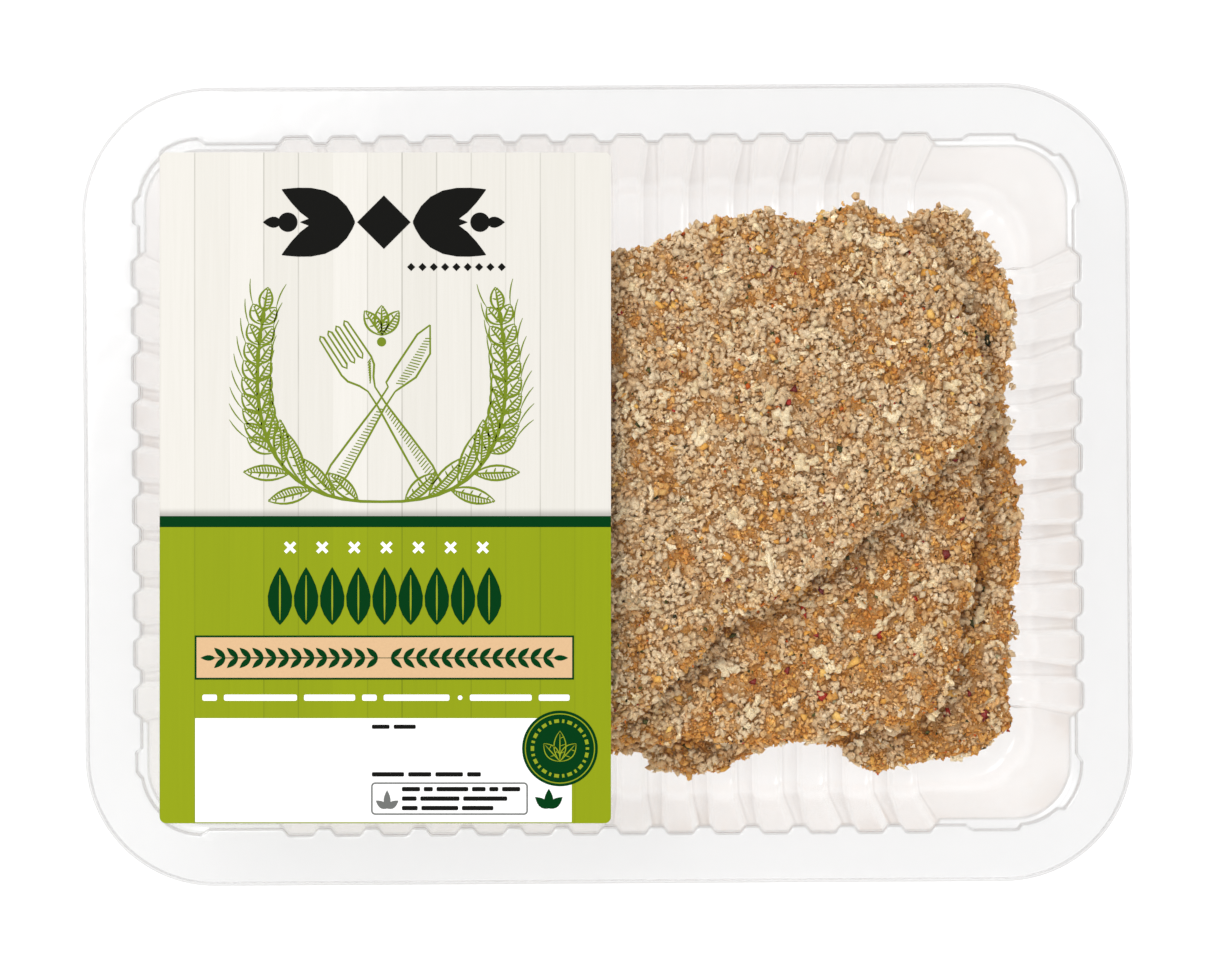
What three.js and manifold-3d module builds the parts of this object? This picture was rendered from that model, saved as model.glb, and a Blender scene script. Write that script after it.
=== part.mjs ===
// A shallow tray of clear formed sheet with three crumbed chicken schnitzels laid on each other
// in it. A clear film is sealed flat over the tray's flange, and a printed label lies on the film.
//
// Millimetres, +Z up. The origin is under the middle of the tray, on the surface it stands on.
// +X runs along the tray's length and +Y across it. The label covers the -X half.
import * as THREE from 'three';
import Module from 'manifold-3d';
import { mergeVertices } from 'three/addons/utils/BufferGeometryUtils.js';

const wasm = await Module();
wasm.setup();

// ---- Driving dimensions -------------------------------------------------------------------

const TRAY_LENGTH = 227;
const TRAY_WIDTH = 173;
const TRAY_HEIGHT = 45;
const SHEET = 0.6; // thickness of the formed sheet
const FLANGE_WIDTH = 12.4; // from the outer edge to the mouth, between two flutes
const FLANGE_CORNER = 28;
const LIP_DROP = 2.4; // how far the flange's outer edge is turned down
const MOUTH_CORNER = 13;
const FOOT_HEIGHT = 6.5; // where the wall starts to bend into the floor
const FOOT_INSET = 4.6; // how far in from the mouth the wall stands at that height
const FOOT_CORNER = 14;
const FLOOR_INSET = 8; // how far in from the mouth the flat floor begins
const FLOOR_CORNER = 15;

// A narrow ledge runs round each corner just under the flange, where the wall has no flutes.
const LEDGE_WIDTH = 1.4;
const LEDGE_DROP = 1.3;
const LEDGE_FALL = 0.3; // how far the ledge slopes down towards the wall
const LEDGE_AT_FOOT = 0.3; // share of the ledge's width by which the corner still stands in there
const WALL_LEAN = [0.1, 0.2]; // how far in from the mouth the wall stands over and under the ledge
const FOOT_DOWN = 0.9; // the foot's place on the way down the wall, as a share

// Upright flutes stand out of the walls. They lose some of their width on the way down.
const FLUTE_PITCH = 10.3;
const FLUTE_BASE = 7.9;
const FLUTE_CREST = 4.9;
const FLUTE_DEPTH = 1.5;
const FLUTE_TAPER = 0.17;
const FLUTES_ON_LONG_SIDE = 14;
const FLUTES_ON_SHORT_SIDE = 10;

// Shallow lugs on the corners keep stacked trays from jamming.
const LUG_DEPTH = 1.1;
const LUG_RAMP = 0.9;
const CORNER_STEPS = 6;
const RUN_OUT = 0.8; // from the last flute to where the plain wall begins

const LAY_GAP = 0.1; // between the flange and the film, and between the film and the label
const FILM_THICK = 0.2;
const FILM_SETBACK = 0.8; // from the flange's edge
const LABEL_LENGTH = 97.7;
const LABEL_WIDTH = 145.2;
const LABEL_THICK = 0.2;
const LABEL_CORNER = 1.4;
const LABEL_CENTRE = [-48.1, -0.5];
const ARC_STEPS = 9; // of the flange's, the film's and the label's round corners
const WELD = 1e-4; // points nearer than this to each other are one

const PIECE_THICK = 11.2; // a schnitzel's mean thickness
const PIECE_UNEVEN = 0.09; // share by which its thickness swells and thins
const SWELL_LENGTH = [23, 19]; // how quickly it does so along X and along Y
const PIECE_GAP = 0.8; // between one schnitzel and the next, which the loose crumbs fill
const FLOOR_GAP = 0.3;
const EDGE_AT = 0.46; // height of the outermost edge, as a share of the thickness
const EDGE_ROUND_OVER = 5.4; // how far in the upper face is rounded off
const EDGE_ROUND_UNDER = 3;
const EDGE_NEAR = 0.9; // the rounding's nearest ring of points, in from the edge
const EDGE_MIDWAY = 2.5; // the next one over the upper face
const UNDER_SHARE = 0.55; // the underside's innermost ring, as a share of the way to the middle
const OVER_SHARES = [0.35, 0.7]; // the upper face's two
const STATIONS_PER_POINT = 2; // outline points from one listed point to the next

// ---- Materials ----------------------------------------------------------------------------

const clearSheet = () => new THREE.MeshStandardMaterial({
  color: 0xf1efec, roughness: 0.25, metalness: 0, transparent: true, opacity: 0.4,
});
const clearFilm = () => new THREE.MeshStandardMaterial({
  color: 0xffffff, roughness: 0.08, metalness: 0, transparent: true, opacity: 0.12,
});
const printedPaper = () => new THREE.MeshStandardMaterial({ color: 0x9aaa14, roughness: 0.55, metalness: 0 });
const breadcrumb = () => new THREE.MeshStandardMaterial({ color: 0xcfae82, roughness: 0.9, metalness: 0 });

// ---- Solids and meshes --------------------------------------------------------------------

// A closed solid through rings of points, which go anticlockwise seen from above and all have the
// same number of points. The rings run from the middle of the underside, outwards and up, and back
// in over the top. The first one and the last one are filled in.
function loft(rings) {
  const around = rings[0].length;
  const last = rings.length - 1;
  const at = (ring, i) => ring * around + (i % around);
  const faces = [];
  for (let ring = 0; ring < last; ring += 1) {
    for (let i = 0; i < around; i += 1) {
      faces.push(at(ring, i), at(ring, i + 1), at(ring + 1, i + 1));
      faces.push(at(ring, i), at(ring + 1, i + 1), at(ring + 1, i));
    }
  }
  const filled = (ring) => THREE.ShapeUtils.triangulateShape(
    rings[ring].map((p) => new THREE.Vector2(p.x, p.y)), []);
  for (const [a, b, c] of filled(0)) faces.push(at(0, a), at(0, c), at(0, b));
  for (const [a, b, c] of filled(last)) faces.push(at(last, a), at(last, b), at(last, c));
  const geometry = new THREE.BufferGeometry().setFromPoints(rings.flat());
  geometry.setIndex(faces);
  return geometry;
}

// A flat plate with round corners, centred on the Z axis, from the height low to the height high.
function plate(length, width, corner, low, high) {
  const [x, y] = [length / 2 - corner, width / 2 - corner];
  const outline = new THREE.Shape();
  outline.absarc(x, y, corner, 0, 0.5 * Math.PI);
  outline.absarc(-x, y, corner, 0.5 * Math.PI, Math.PI);
  outline.absarc(-x, -y, corner, Math.PI, 1.5 * Math.PI);
  outline.absarc(x, -y, corner, 1.5 * Math.PI, 2 * Math.PI);
  const options = { depth: high - low, bevelEnabled: false, curveSegments: ARC_STEPS };
  return new THREE.ExtrudeGeometry(outline, options).translate(0, 0, low);
}

// A geometry as a manifold solid, to join and cut.
function solid(geometry) {
  geometry.deleteAttribute('normal');
  geometry.deleteAttribute('uv');
  const merged = mergeVertices(geometry, WELD);
  return new wasm.Manifold(new wasm.Mesh({
    numProp: 3,
    vertProperties: merged.attributes.position.array,
    triVerts: new Uint32Array(merged.index.array),
  }));
}

function geometryOf(manifold) {
  const { vertProperties, triVerts } = manifold.getMesh();
  const geometry = new THREE.BufferGeometry();
  geometry.setAttribute('position', new THREE.BufferAttribute(vertProperties, 3));
  geometry.setIndex(new THREE.BufferAttribute(triVerts, 1));
  return geometry;
}

function named(name, geometry, material) {
  geometry.computeVertexNormals();
  const mesh = new THREE.Mesh(geometry, material);
  mesh.name = name;
  return mesh;
}

// ---- Tray ---------------------------------------------------------------------------------

// The four sides, anticlockwise from the one at +X. A side's half is how far out its mouth lies,
// and it runs along the direction in which the next side faces.
const SIDES = [
  { out: new THREE.Vector3(1, 0, 0), half: TRAY_LENGTH / 2 - FLANGE_WIDTH, flutes: FLUTES_ON_SHORT_SIDE },
  { out: new THREE.Vector3(0, 1, 0), half: TRAY_WIDTH / 2 - FLANGE_WIDTH, flutes: FLUTES_ON_LONG_SIDE },
  { out: new THREE.Vector3(-1, 0, 0), half: TRAY_LENGTH / 2 - FLANGE_WIDTH, flutes: FLUTES_ON_SHORT_SIDE },
  { out: new THREE.Vector3(0, -1, 0), half: TRAY_WIDTH / 2 - FLANGE_WIDTH, flutes: FLUTES_ON_LONG_SIDE },
];
const sideAfter = (side) => SIDES[(SIDES.indexOf(side) + 1) % SIDES.length];

// How far from the middle of a side its last flute ends, at a share of the way down the wall.
const fluteScale = (down) => 1 - FLUTE_TAPER * down;
const flutesEnd = (side, down) => (side.flutes - 1) / 2 * FLUTE_PITCH + FLUTE_BASE / 2 * fluteScale(down);

// Each corner's two lugs, as where they begin and end along the mouth: the corner's arc runs from
// 0 to CORNER_ARC, anticlockwise. The half of the tray at -Y mirrors the half at +Y.
const CORNER_ARC = MOUTH_CORNER * Math.PI / 2;
const LUGS_RIGHT = [[-1.7, 10.8], [CORNER_ARC - 1, CORNER_ARC + 10.6]];
const LUGS_LEFT = [[-1, 8.8], [CORNER_ARC - 1.6, CORNER_ARC + 4.4]];
const mirrored = (lugs) => lugs.map(([from, to]) => [CORNER_ARC - to, CORNER_ARC - from]);
const LUGS = [LUGS_RIGHT, LUGS_LEFT, mirrored(LUGS_LEFT), mirrored(LUGS_RIGHT)];

// The points across one side's flutes: where each is, and how far out on the flute, from 0 to 1.
function fluteStations(side) {
  const profile = [[-FLUTE_BASE, 0], [-FLUTE_CREST, 1], [FLUTE_CREST, 1], [FLUTE_BASE, 0]];
  const stations = [];
  for (let i = 0; i < side.flutes; i += 1) {
    const middle = (i - (side.flutes - 1) / 2) * FLUTE_PITCH;
    for (const [width, flute] of profile) stations.push({ side, middle, offset: width / 2, flute });
  }
  return stations;
}

// The points round the corner after a side, from its last flute to the next side's first. Those
// on the straight stretches are given as a share of the stretch before or after the arc.
function cornerStations(side, lugs) {
  const next = sideAfter(side);
  const before = next.half - MOUTH_CORNER - flutesEnd(side, 0);
  const after = side.half - MOUTH_CORNER - flutesEnd(next, 0);
  const paths = [RUN_OUT - before, CORNER_ARC + after - RUN_OUT];
  for (let i = 0; i <= CORNER_STEPS; i += 1) paths.push(CORNER_ARC * i / CORNER_STEPS);
  for (const [from, to] of lugs) paths.push(from, from + LUG_RAMP, to - LUG_RAMP, to);
  const lugAt = (path) => Math.max(...lugs.map(([from, to]) => Math.min(path - from, to - path))) / LUG_RAMP;
  return paths.sort((a, b) => a - b).map((path) => ({
    side,
    next,
    angle: THREE.MathUtils.clamp(path / CORNER_ARC, 0, 1) * Math.PI / 2,
    shareBefore: Math.max(0, -path / before),
    shareAfter: Math.max(0, (path - CORNER_ARC) / after),
    lug: THREE.MathUtils.clamp(lugAt(path), 0, 1),
  }));
}

function flutePoint({ side, middle, offset, flute }, ring, outward) {
  const along = middle + offset * fluteScale(ring.down);
  const out = side.half - ring.inset + outward + FLUTE_DEPTH * flute;
  return side.out.clone().multiplyScalar(out).addScaledVector(sideAfter(side).out, along);
}

function cornerPoint({ side, next, angle, shareBefore, shareAfter, lug }, ring, outward) {
  const [half, nextHalf] = [side.half - ring.inset, next.half - ring.inset];
  const reach = ring.corner + outward + LUG_DEPTH * ring.lug * lug - LEDGE_WIDTH * ring.ledge;
  const before = shareBefore * (nextHalf - ring.corner - flutesEnd(side, ring.down));
  const after = shareAfter * (half - ring.corner - flutesEnd(next, ring.down));
  return side.out.clone().multiplyScalar(half - ring.corner - after + reach * Math.cos(angle))
    .addScaledVector(next.out, nextHalf - ring.corner - before + reach * Math.sin(angle));
}

const STATIONS = SIDES.flatMap((side, i) => [...fluteStations(side), ...cornerStations(side, LUGS[i])]);

function trayRing(ring, outward, height) {
  const points = STATIONS.map((station) => (
    station.next ? cornerPoint(station, ring, outward) : flutePoint(station, ring, outward)));
  return points.map((point) => point.setZ(height));
}

// The wall's inner face from the floor to the mouth. down is the share of the way down the wall,
// and lug and ledge are the shares of the lugs' depth and of the ledge's width at that height.
const LEDGE_HEIGHT = TRAY_HEIGHT - LEDGE_DROP;
const WALL_RINGS = [
  { height: SHEET, inset: FLOOR_INSET, corner: FLOOR_CORNER, down: 1, lug: 0, ledge: 0 },
  {
    height: FOOT_HEIGHT, inset: FOOT_INSET, corner: FOOT_CORNER,
    down: FOOT_DOWN, lug: 0, ledge: LEDGE_AT_FOOT,
  },
  { height: LEDGE_HEIGHT - LEDGE_FALL, inset: WALL_LEAN[1], corner: MOUTH_CORNER, down: 0, lug: 0, ledge: 1 },
  { height: LEDGE_HEIGHT, inset: WALL_LEAN[0], corner: MOUTH_CORNER, down: 0, lug: 1, ledge: 0 },
];
const MOUTH_RING = { inset: 0, corner: MOUTH_CORNER, down: 0, lug: 1, ledge: 0 };

function trayGeometry() {
  const inside = WALL_RINGS.map((ring) => trayRing(ring, 0, ring.height));
  const outside = WALL_RINGS.map((ring, i) => trayRing(ring, SHEET, ring.height - (i === 1 ? 0 : SHEET)));
  const hollow = loft([...inside, trayRing(MOUTH_RING, 0, TRAY_HEIGHT + SHEET)]);
  const body = loft([...outside, trayRing(MOUTH_RING, SHEET, TRAY_HEIGHT)]);
  const flange = plate(TRAY_LENGTH, TRAY_WIDTH, FLANGE_CORNER, TRAY_HEIGHT - LIP_DROP, TRAY_HEIGHT);
  const underFlange = plate(TRAY_LENGTH - 2 * SHEET, TRAY_WIDTH - 2 * SHEET, FLANGE_CORNER - SHEET,
    TRAY_HEIGHT - LIP_DROP - SHEET, TRAY_HEIGHT - SHEET);
  const rim = solid(flange).subtract(solid(underFlange));
  return geometryOf(rim.add(solid(body)).subtract(solid(hollow)));
}

// ---- Film and label -----------------------------------------------------------------------

const FILM_LOW = TRAY_HEIGHT + LAY_GAP;
const LABEL_LOW = FILM_LOW + FILM_THICK + LAY_GAP;

function filmGeometry() {
  const length = TRAY_LENGTH - 2 * FILM_SETBACK;
  const width = TRAY_WIDTH - 2 * FILM_SETBACK;
  return plate(length, width, FLANGE_CORNER - FILM_SETBACK, FILM_LOW, FILM_LOW + FILM_THICK);
}

function labelGeometry() {
  const [x, y] = LABEL_CENTRE;
  const label = plate(LABEL_LENGTH, LABEL_WIDTH, LABEL_CORNER, LABEL_LOW, LABEL_LOW + LABEL_THICK);
  return label.translate(x, y, 0);
}

// ---- Schnitzels ---------------------------------------------------------------------------

// From the lowest to the highest. The edge is a smooth closed curve through these points, which
// go anticlockwise. swell is where on its waves the thickness begins.
const SCHNITZELS = [
  {
    name: 'schnitzel_bottom',
    swell: 0.4,
    edge: [
      [92.6, -3], [90.8, 6], [88.4, 15], [84, 38], [66, 52], [26, 52], [-24, 54], [-56, 56],
      [-81, 43], [-90, 17], [-86, -12], [-81, -38], [-62, -55], [-26, -59.5], [1, -57.8],
      [9, -60.4], [12.5, -63.8], [21, -63.8], [31, -60.6], [38, -56.4], [48, -56.4], [55, -58.6],
      [57, -62], [60.5, -63.8], [66, -61.8], [76, -60.6], [87.4, -56.4], [90.2, -50], [89.9, -43],
      [90.9, -32], [91.6, -18],
    ],
  },
  {
    name: 'schnitzel_middle',
    swell: 2.1,
    edge: [
      [82.4, 5], [84.8, 16.5], [86.5, 21], [88.4, 28.5], [90.6, 37], [89.6, 43.5], [86.8, 50.5],
      [82, 57], [77.5, 60.3], [71.5, 60], [66, 58.2], [44, 55.5], [12, 50.5], [-16, 51], [-44, 53],
      [-69, 45], [-83, 26], [-84, 0], [-76, -26], [-58, -46], [-24, -57], [8, -55.8], [20, -55.8],
      [33, -57.4], [45, -56.4], [52, -54], [66, -52], [71.8, -50.6], [75.6, -41], [79.2, -26],
      [81.6, -6],
    ],
  },
  {
    name: 'schnitzel_top',
    swell: 4.3,
    edge: [
      [82.6, 19], [81.6, 29], [78, 39.5], [73.8, 49], [62, 57.8], [54, 59.9], [47, 57.8],
      [43, 55.6], [39, 58.2], [34, 59.8], [29, 57.6], [19.5, 55.8], [4, 50.2], [-20, 49.5],
      [-44, 47], [-64, 36], [-76, 17], [-78, -6], [-69, -29], [-51, -46], [-28, -55], [0, -53.6],
      [15.9, -39.2], [22, -33.7], [28.8, -28], [38.6, -24.7], [46.3, -19.2], [57.4, -10],
      [66.4, -3.5], [74, 6], [81.2, 12],
    ],
  },
];

// How round a face is near the edge: 0 at the edge itself and 1 from the distance reach inwards.
const roundness = (inset, reach) => Math.sqrt(1 - (1 - Math.min(1, inset / reach)) ** 2);

// One schnitzel's rings. Those near the edge lie at a distance in from it, and the inner ones at
// a share of the way from there to the middle.
function schnitzelGeometry(edge, under, thick) {
  const curve = new THREE.CatmullRomCurve3(edge.map(([x, y]) => new THREE.Vector3(x, y, 0)), true);
  const outline = curve.getPoints(edge.length * STATIONS_PER_POINT).slice(0, -1);
  const middle = new THREE.Box3().setFromPoints(outline).getCenter(new THREE.Vector3());
  const ringAt = (inset, share, rise) => outline.map((rim) => {
    const length = rim.distanceTo(middle);
    const point = rim.clone().lerp(middle, inset / length).lerp(middle, share);
    const height = rise * thick(point.x, point.y);
    return point.setZ(under(point.x, point.y) + height);
  });
  const underRise = (inset) => EDGE_AT * (1 - roundness(inset, EDGE_ROUND_UNDER));
  const overRise = (inset) => EDGE_AT + (1 - EDGE_AT) * roundness(inset, EDGE_ROUND_OVER);
  return loft([
    ringAt(EDGE_ROUND_UNDER, UNDER_SHARE, 0),
    ringAt(EDGE_ROUND_UNDER, 0, 0),
    ringAt(EDGE_NEAR, 0, underRise(EDGE_NEAR)),
    ringAt(0, 0, EDGE_AT),
    ringAt(EDGE_NEAR, 0, overRise(EDGE_NEAR)),
    ringAt(EDGE_MIDWAY, 0, overRise(EDGE_MIDWAY)),
    ringAt(EDGE_ROUND_OVER, 0, 1),
    ...OVER_SHARES.map((share) => ringAt(EDGE_ROUND_OVER, share, 1)),
  ]);
}

// The stack: each schnitzel follows the upper face of the one it lies on.
function schnitzels() {
  let under = () => SHEET + FLOOR_GAP;
  return SCHNITZELS.map(({ name, swell, edge }) => {
    const rest = under;
    const thick = (x, y) => PIECE_THICK * (1 + PIECE_UNEVEN
      * Math.sin(x / SWELL_LENGTH[0] + swell) * Math.cos(y / SWELL_LENGTH[1] - swell));
    under = (x, y) => rest(x, y) + thick(x, y) + PIECE_GAP;
    return named(name, schnitzelGeometry(edge, rest, thick), breadcrumb());
  });
}

// ---- The pack -----------------------------------------------------------------------------

const pack = new THREE.Group();
pack.add(named('tray', trayGeometry(), clearSheet()));
pack.add(...schnitzels());
pack.add(named('film', filmGeometry(), clearFilm()));
pack.add(named('label', labelGeometry(), printedPaper()));

export default pack;
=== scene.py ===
# A sealed retail tray of crumbed chicken schnitzels, seen from above: the tray, the schnitzels with
# their crumbs and seasoning, the lidding film, and the printed label that lies on it.
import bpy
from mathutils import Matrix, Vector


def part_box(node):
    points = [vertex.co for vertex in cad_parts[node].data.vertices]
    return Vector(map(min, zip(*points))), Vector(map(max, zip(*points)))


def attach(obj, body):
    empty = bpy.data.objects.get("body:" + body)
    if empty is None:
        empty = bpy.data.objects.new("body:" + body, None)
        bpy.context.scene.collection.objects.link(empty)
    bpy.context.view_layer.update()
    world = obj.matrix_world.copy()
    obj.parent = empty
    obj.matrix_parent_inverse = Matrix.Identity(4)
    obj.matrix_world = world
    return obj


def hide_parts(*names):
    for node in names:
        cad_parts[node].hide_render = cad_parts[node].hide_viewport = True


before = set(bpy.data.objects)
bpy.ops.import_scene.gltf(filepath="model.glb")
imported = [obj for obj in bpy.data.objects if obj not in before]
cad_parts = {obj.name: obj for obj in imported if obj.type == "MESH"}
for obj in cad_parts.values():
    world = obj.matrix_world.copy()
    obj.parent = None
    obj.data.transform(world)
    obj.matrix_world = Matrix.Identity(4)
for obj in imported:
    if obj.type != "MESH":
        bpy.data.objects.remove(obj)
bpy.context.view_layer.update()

import itertools
import math

import bmesh
import bpy
import numpy as np
from mathutils import Matrix, Vector, noise
from mathutils.bvhtree import BVHTree

MM = 0.001


# ---------------------------------------------------------------------------------------------
# The tray. One sheet of clear polyester is warmed and drawn down into a fluted mould, and cut out
# with a round-cornered flange whose edge turns down. Forming leaves it a little milky, and the
# sheet shows most where it bends sharply. Its colour carries painted light too: a painted dark line
# at the sharp bends, a painted highlight and a painted shade line on the flutes' shoulders, and a
# warm painted tint on the walls for light bounced off the schnitzels.

TRAY_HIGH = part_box("tray")[1]
TRAY_HALF = (TRAY_HIGH.x / MM, TRAY_HIGH.y / MM)
TRAY_HEIGHT = TRAY_HIGH.z / MM
SHEET = 0.45  # the formed sheet's thickness
FLANGE = 12.4  # from the outer edge to the mouth, between two flutes
FLANGE_CORNER = 28.0
MOUTH_CORNER = 13.0
LEDGE = 0.95  # the shelf round each corner, where the wall has no flutes
FOOT_INSET = 4.6
FLOOR_INSET = 8.0
FLOOR_CORNER_AT = 23.5  # a floor ring's inset and its corner radius add up to this
FLOOR_RISE = 0.42  # how far the floor lies above the channels that go on from the flutes
FLUTE_PITCH, FLUTE_BASE, FLUTE_CREST, FLUTE_DEPTH, FLUTE_TAPER = 10.3, 7.9, 4.7, 1.5, 0.17
FLUTES = (10, 14)  # on a short side and on a long side
LUG_DEPTH, LUG_RAMP = 1.1, 0.9
CORNER_ARC = MOUTH_CORNER * math.pi / 2
GROOVE_DEPTH, GROOVE_HALF_WIDTH, GROOVE_TOP = 0.5, 1.9, 21.0  # the rib up each corner
MOUTH_HALF = (TRAY_HALF[0] - FLANGE, TRAY_HALF[1] - FLANGE)


def smooth(t):
    t = min(1.0, max(0.0, t))
    return t * t * (3 - 2 * t)


def flutes_end(side, down):
    """How far from the middle of a side its last flute ends, at a share of the way down."""
    return (FLUTES[side % 2] - 1) / 2 * FLUTE_PITCH + FLUTE_BASE / 2 * (1 - FLUTE_TAPER * down)


def lug_height(corner, path):
    """How far out the lugs stand along a corner's mouth, 0 to 1. Its arc runs from 0 to CORNER_ARC."""
    right = ((-1.7, 10.8), (CORNER_ARC - 1, CORNER_ARC + 10.6))
    left = ((-1.0, 8.8), (CORNER_ARC - 1.6, CORNER_ARC + 4.4))
    if corner >= 2:
        path = CORNER_ARC - path
    lugs = right if corner in (0, 3) else left
    return max(smooth(min(path - start, end - path) / LUG_RAMP) for start, end in lugs)


def tray_stations():
    """The tray's outline as a list of stations, anticlockwise from the short side at +X."""
    across = (-1.08, -1, -0.9, -0.8, -0.7, -0.6, -0.3, 0.3, 0.6, 0.7, 0.8, 0.9, 1, 1.08, 1.3)
    stations = []
    for side in range(4):
        for i in range(FLUTES[side % 2]):
            middle = (i - (FLUTES[side % 2] - 1) / 2) * FLUTE_PITCH
            for share in across:
                shoulder = (1 - abs(share)) / (1 - FLUTE_CREST / FLUTE_BASE)
                # Painted light on the flute shoulders: +1 marks a painted highlight along the ramps, -1 a
                # painted shade line by the valley.
                ramp = 1.0 if 0.65 < abs(share) < 0.95 else -1.0 if 1.05 < abs(share) < 1.1 else 0.0
                stations.append({"side": side, "middle": middle, "offset": share * FLUTE_BASE / 2,
                                 "flute": smooth(shoulder), "corner": False, "ramp": ramp})
        stations.pop()  # the last valley belongs to the corner
        before = MOUTH_HALF[(side + 1) % 2] - MOUTH_CORNER - flutes_end(side, 0)
        after = MOUTH_HALF[side % 2] - MOUTH_CORNER - flutes_end(side + 1, 0)
        steps = round((before + CORNER_ARC + after) / 0.8)
        for i in range(1, steps):
            path = -before + (before + CORNER_ARC + after) * i / steps
            run_out = min(path + before, CORNER_ARC + after - path)
            stations.append({"side": side, "corner": True, "ramp": 0.0, "plain": smooth(run_out / 0.9),
                             "angle": min(1, max(0, path / CORNER_ARC)) * math.pi / 2,
                             "before": max(0, -path / before), "lug": lug_height(side, path),
                             "after": max(0, (path - CORNER_ARC) / after)})
    return stations


def tray_point(station, ring):
    """Where a station lies on a ring, in millimetres."""
    side = station["side"]
    out = [(1, 0), (0, 1), (-1, 0), (0, -1)][side]
    along = (-out[1], out[0])
    half, next_half = MOUTH_HALF[side % 2] - ring["inset"], MOUTH_HALF[(side + 1) % 2] - ring["inset"]
    z = ring["z"]
    if not station["corner"]:
        u = half + FLUTE_DEPTH * ring["flute"] * station["flute"]
        v = station["middle"] + station["offset"] * (1 - FLUTE_TAPER * ring["down"])
        z += ring["rise"] * (1 - station["flute"])
    else:
        corner = ring["corner"]
        off_middle = abs(station["angle"] - math.pi / 4) * max(corner, 4)
        groove = ring["groove"] * smooth((GROOVE_HALF_WIDTH - off_middle) / 0.8)
        reach = corner + LUG_DEPTH * ring["lug"] * station["lug"] - LEDGE * ring["ledge"] * station["plain"]
        reach -= GROOVE_DEPTH * groove * (1 - ring["flat"])
        u = half - corner - station["after"] * (half - corner - flutes_end(side + 1, ring["down"]))
        v = next_half - corner - station["before"] * (next_half - corner - flutes_end(side, ring["down"]))
        u += reach * math.cos(station["angle"])
        v += reach * math.sin(station["angle"])
        z += ring["rise"] + GROOVE_DEPTH * 0.7 * groove * ring["flat"]
    return Vector((out[0] * u + along[0] * v, out[1] * u + along[1] * v, z)) * MM


def tray_rings():
    """The sheet's upper face as rings, from the flange's turned-down edge to the floor."""
    # marked: how strongly a ring carries the painted highlight and painted shade of the flute shoulders;
    # bend: the haze and painted dark line of a sharp bend.
    def ring(z, inset, corner, **more):
        return {"z": z, "inset": inset, "corner": corner, "down": 0, "flute": 0, "lug": 0, "ledge": 0,
                "rise": 0, "groove": 0, "flat": 0, "bend": 0, "marked": 0, **more}

    h = TRAY_HEIGHT
    rings = [
        ring(h - 2.4, -FLANGE + 0.3, FLANGE_CORNER - 0.3),
        ring(h - 2.0, -FLANGE + 0.15, FLANGE_CORNER - 0.15),
        ring(h - 0.6, -FLANGE, FLANGE_CORNER),
        ring(h - 0.25, -FLANGE + 0.12, FLANGE_CORNER, bend=0.1),
        ring(h - 0.05, -FLANGE + 0.45, FLANGE_CORNER, bend=0.05),
        ring(h, -FLANGE + 0.9, 27.5),
        ring(h, -FLANGE + 3.5, 25.0),
        ring(h, -FLANGE + 6.5, 22.0),
        ring(h, -2.8, 16.0, flute=0.6),
        ring(h, -0.9, MOUTH_CORNER, flute=1, lug=1),
        ring(h - 0.04, -0.45, MOUTH_CORNER, flute=1, lug=1, bend=0.1),
        ring(h - 0.22, -0.12, MOUTH_CORNER, flute=1, lug=1, bend=0.8),
        ring(h - 0.5, 0.0, MOUTH_CORNER, flute=1, lug=1, bend=1),
        ring(h - 0.9, 0.06, MOUTH_CORNER, flute=1, lug=1, bend=0.5),
        ring(h - 1.2, 0.1, MOUTH_CORNER, flute=1, lug=0.95, ledge=0.03, bend=0.1),
        ring(h - 1.34, 0.15, MOUTH_CORNER, flute=1, lug=0.6, ledge=0.25),
        ring(h - 1.42, 0.2, MOUTH_CORNER, flute=1, ledge=0.75),
        ring(h - 1.6, 0.24, MOUTH_CORNER, flute=1, ledge=0.95, bend=0.7),
        ring(h - 2.0, 0.3, MOUTH_CORNER, flute=1, ledge=1, bend=0.4, marked=0.7),
        ring(h - 2.6, 0.36, MOUTH_CORNER, flute=1, ledge=1, marked=1),
    ]
    wall_top, wall_foot = h - 2.6, 6.5
    for share in (0.17, 0.34, 0.5, 0.58, 0.66, 0.83, 1.0):
        z = wall_top + (wall_foot - wall_top) * share
        rings.append(ring(z, 0.36 + (FOOT_INSET - 0.36) * share, MOUTH_CORNER + 1.6 * share, down=share,
                          flute=1 - 0.1 * share, ledge=1 - 0.7 * share, groove=smooth((GROOVE_TOP - z) / 2),
                          marked=1))
    low = SHEET + 0.02
    for angle in (18, 36, 54, 72, 90):
        turn = math.radians(angle)
        inset = FOOT_INSET + (FLOOR_INSET - FOOT_INSET) * (1 - math.cos(turn))
        z = wall_foot - (wall_foot - low) * math.sin(turn)
        share = angle / 90
        rings.append(ring(z, inset, FLOOR_CORNER_AT - FLOOR_INSET - 0.9 * (1 - share), down=1, groove=1,
                          flute=0.9 - 0.3 * share, ledge=0.3 * (1 - share), rise=FLOOR_RISE * share,
                          flat=share, marked=1 - 0.2 * share))
    for step in range(1, 8):
        inset = FLOOR_INSET + 2.0 * step
        fade = smooth((7 - step) / 2)
        rings.append(ring(low + FLOOR_RISE * (1 - fade), inset, FLOOR_CORNER_AT - inset, down=1,
                          flute=0.3 * fade, rise=FLOOR_RISE * fade, groove=fade, flat=1, marked=0.8 * fade))
    return rings


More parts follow.
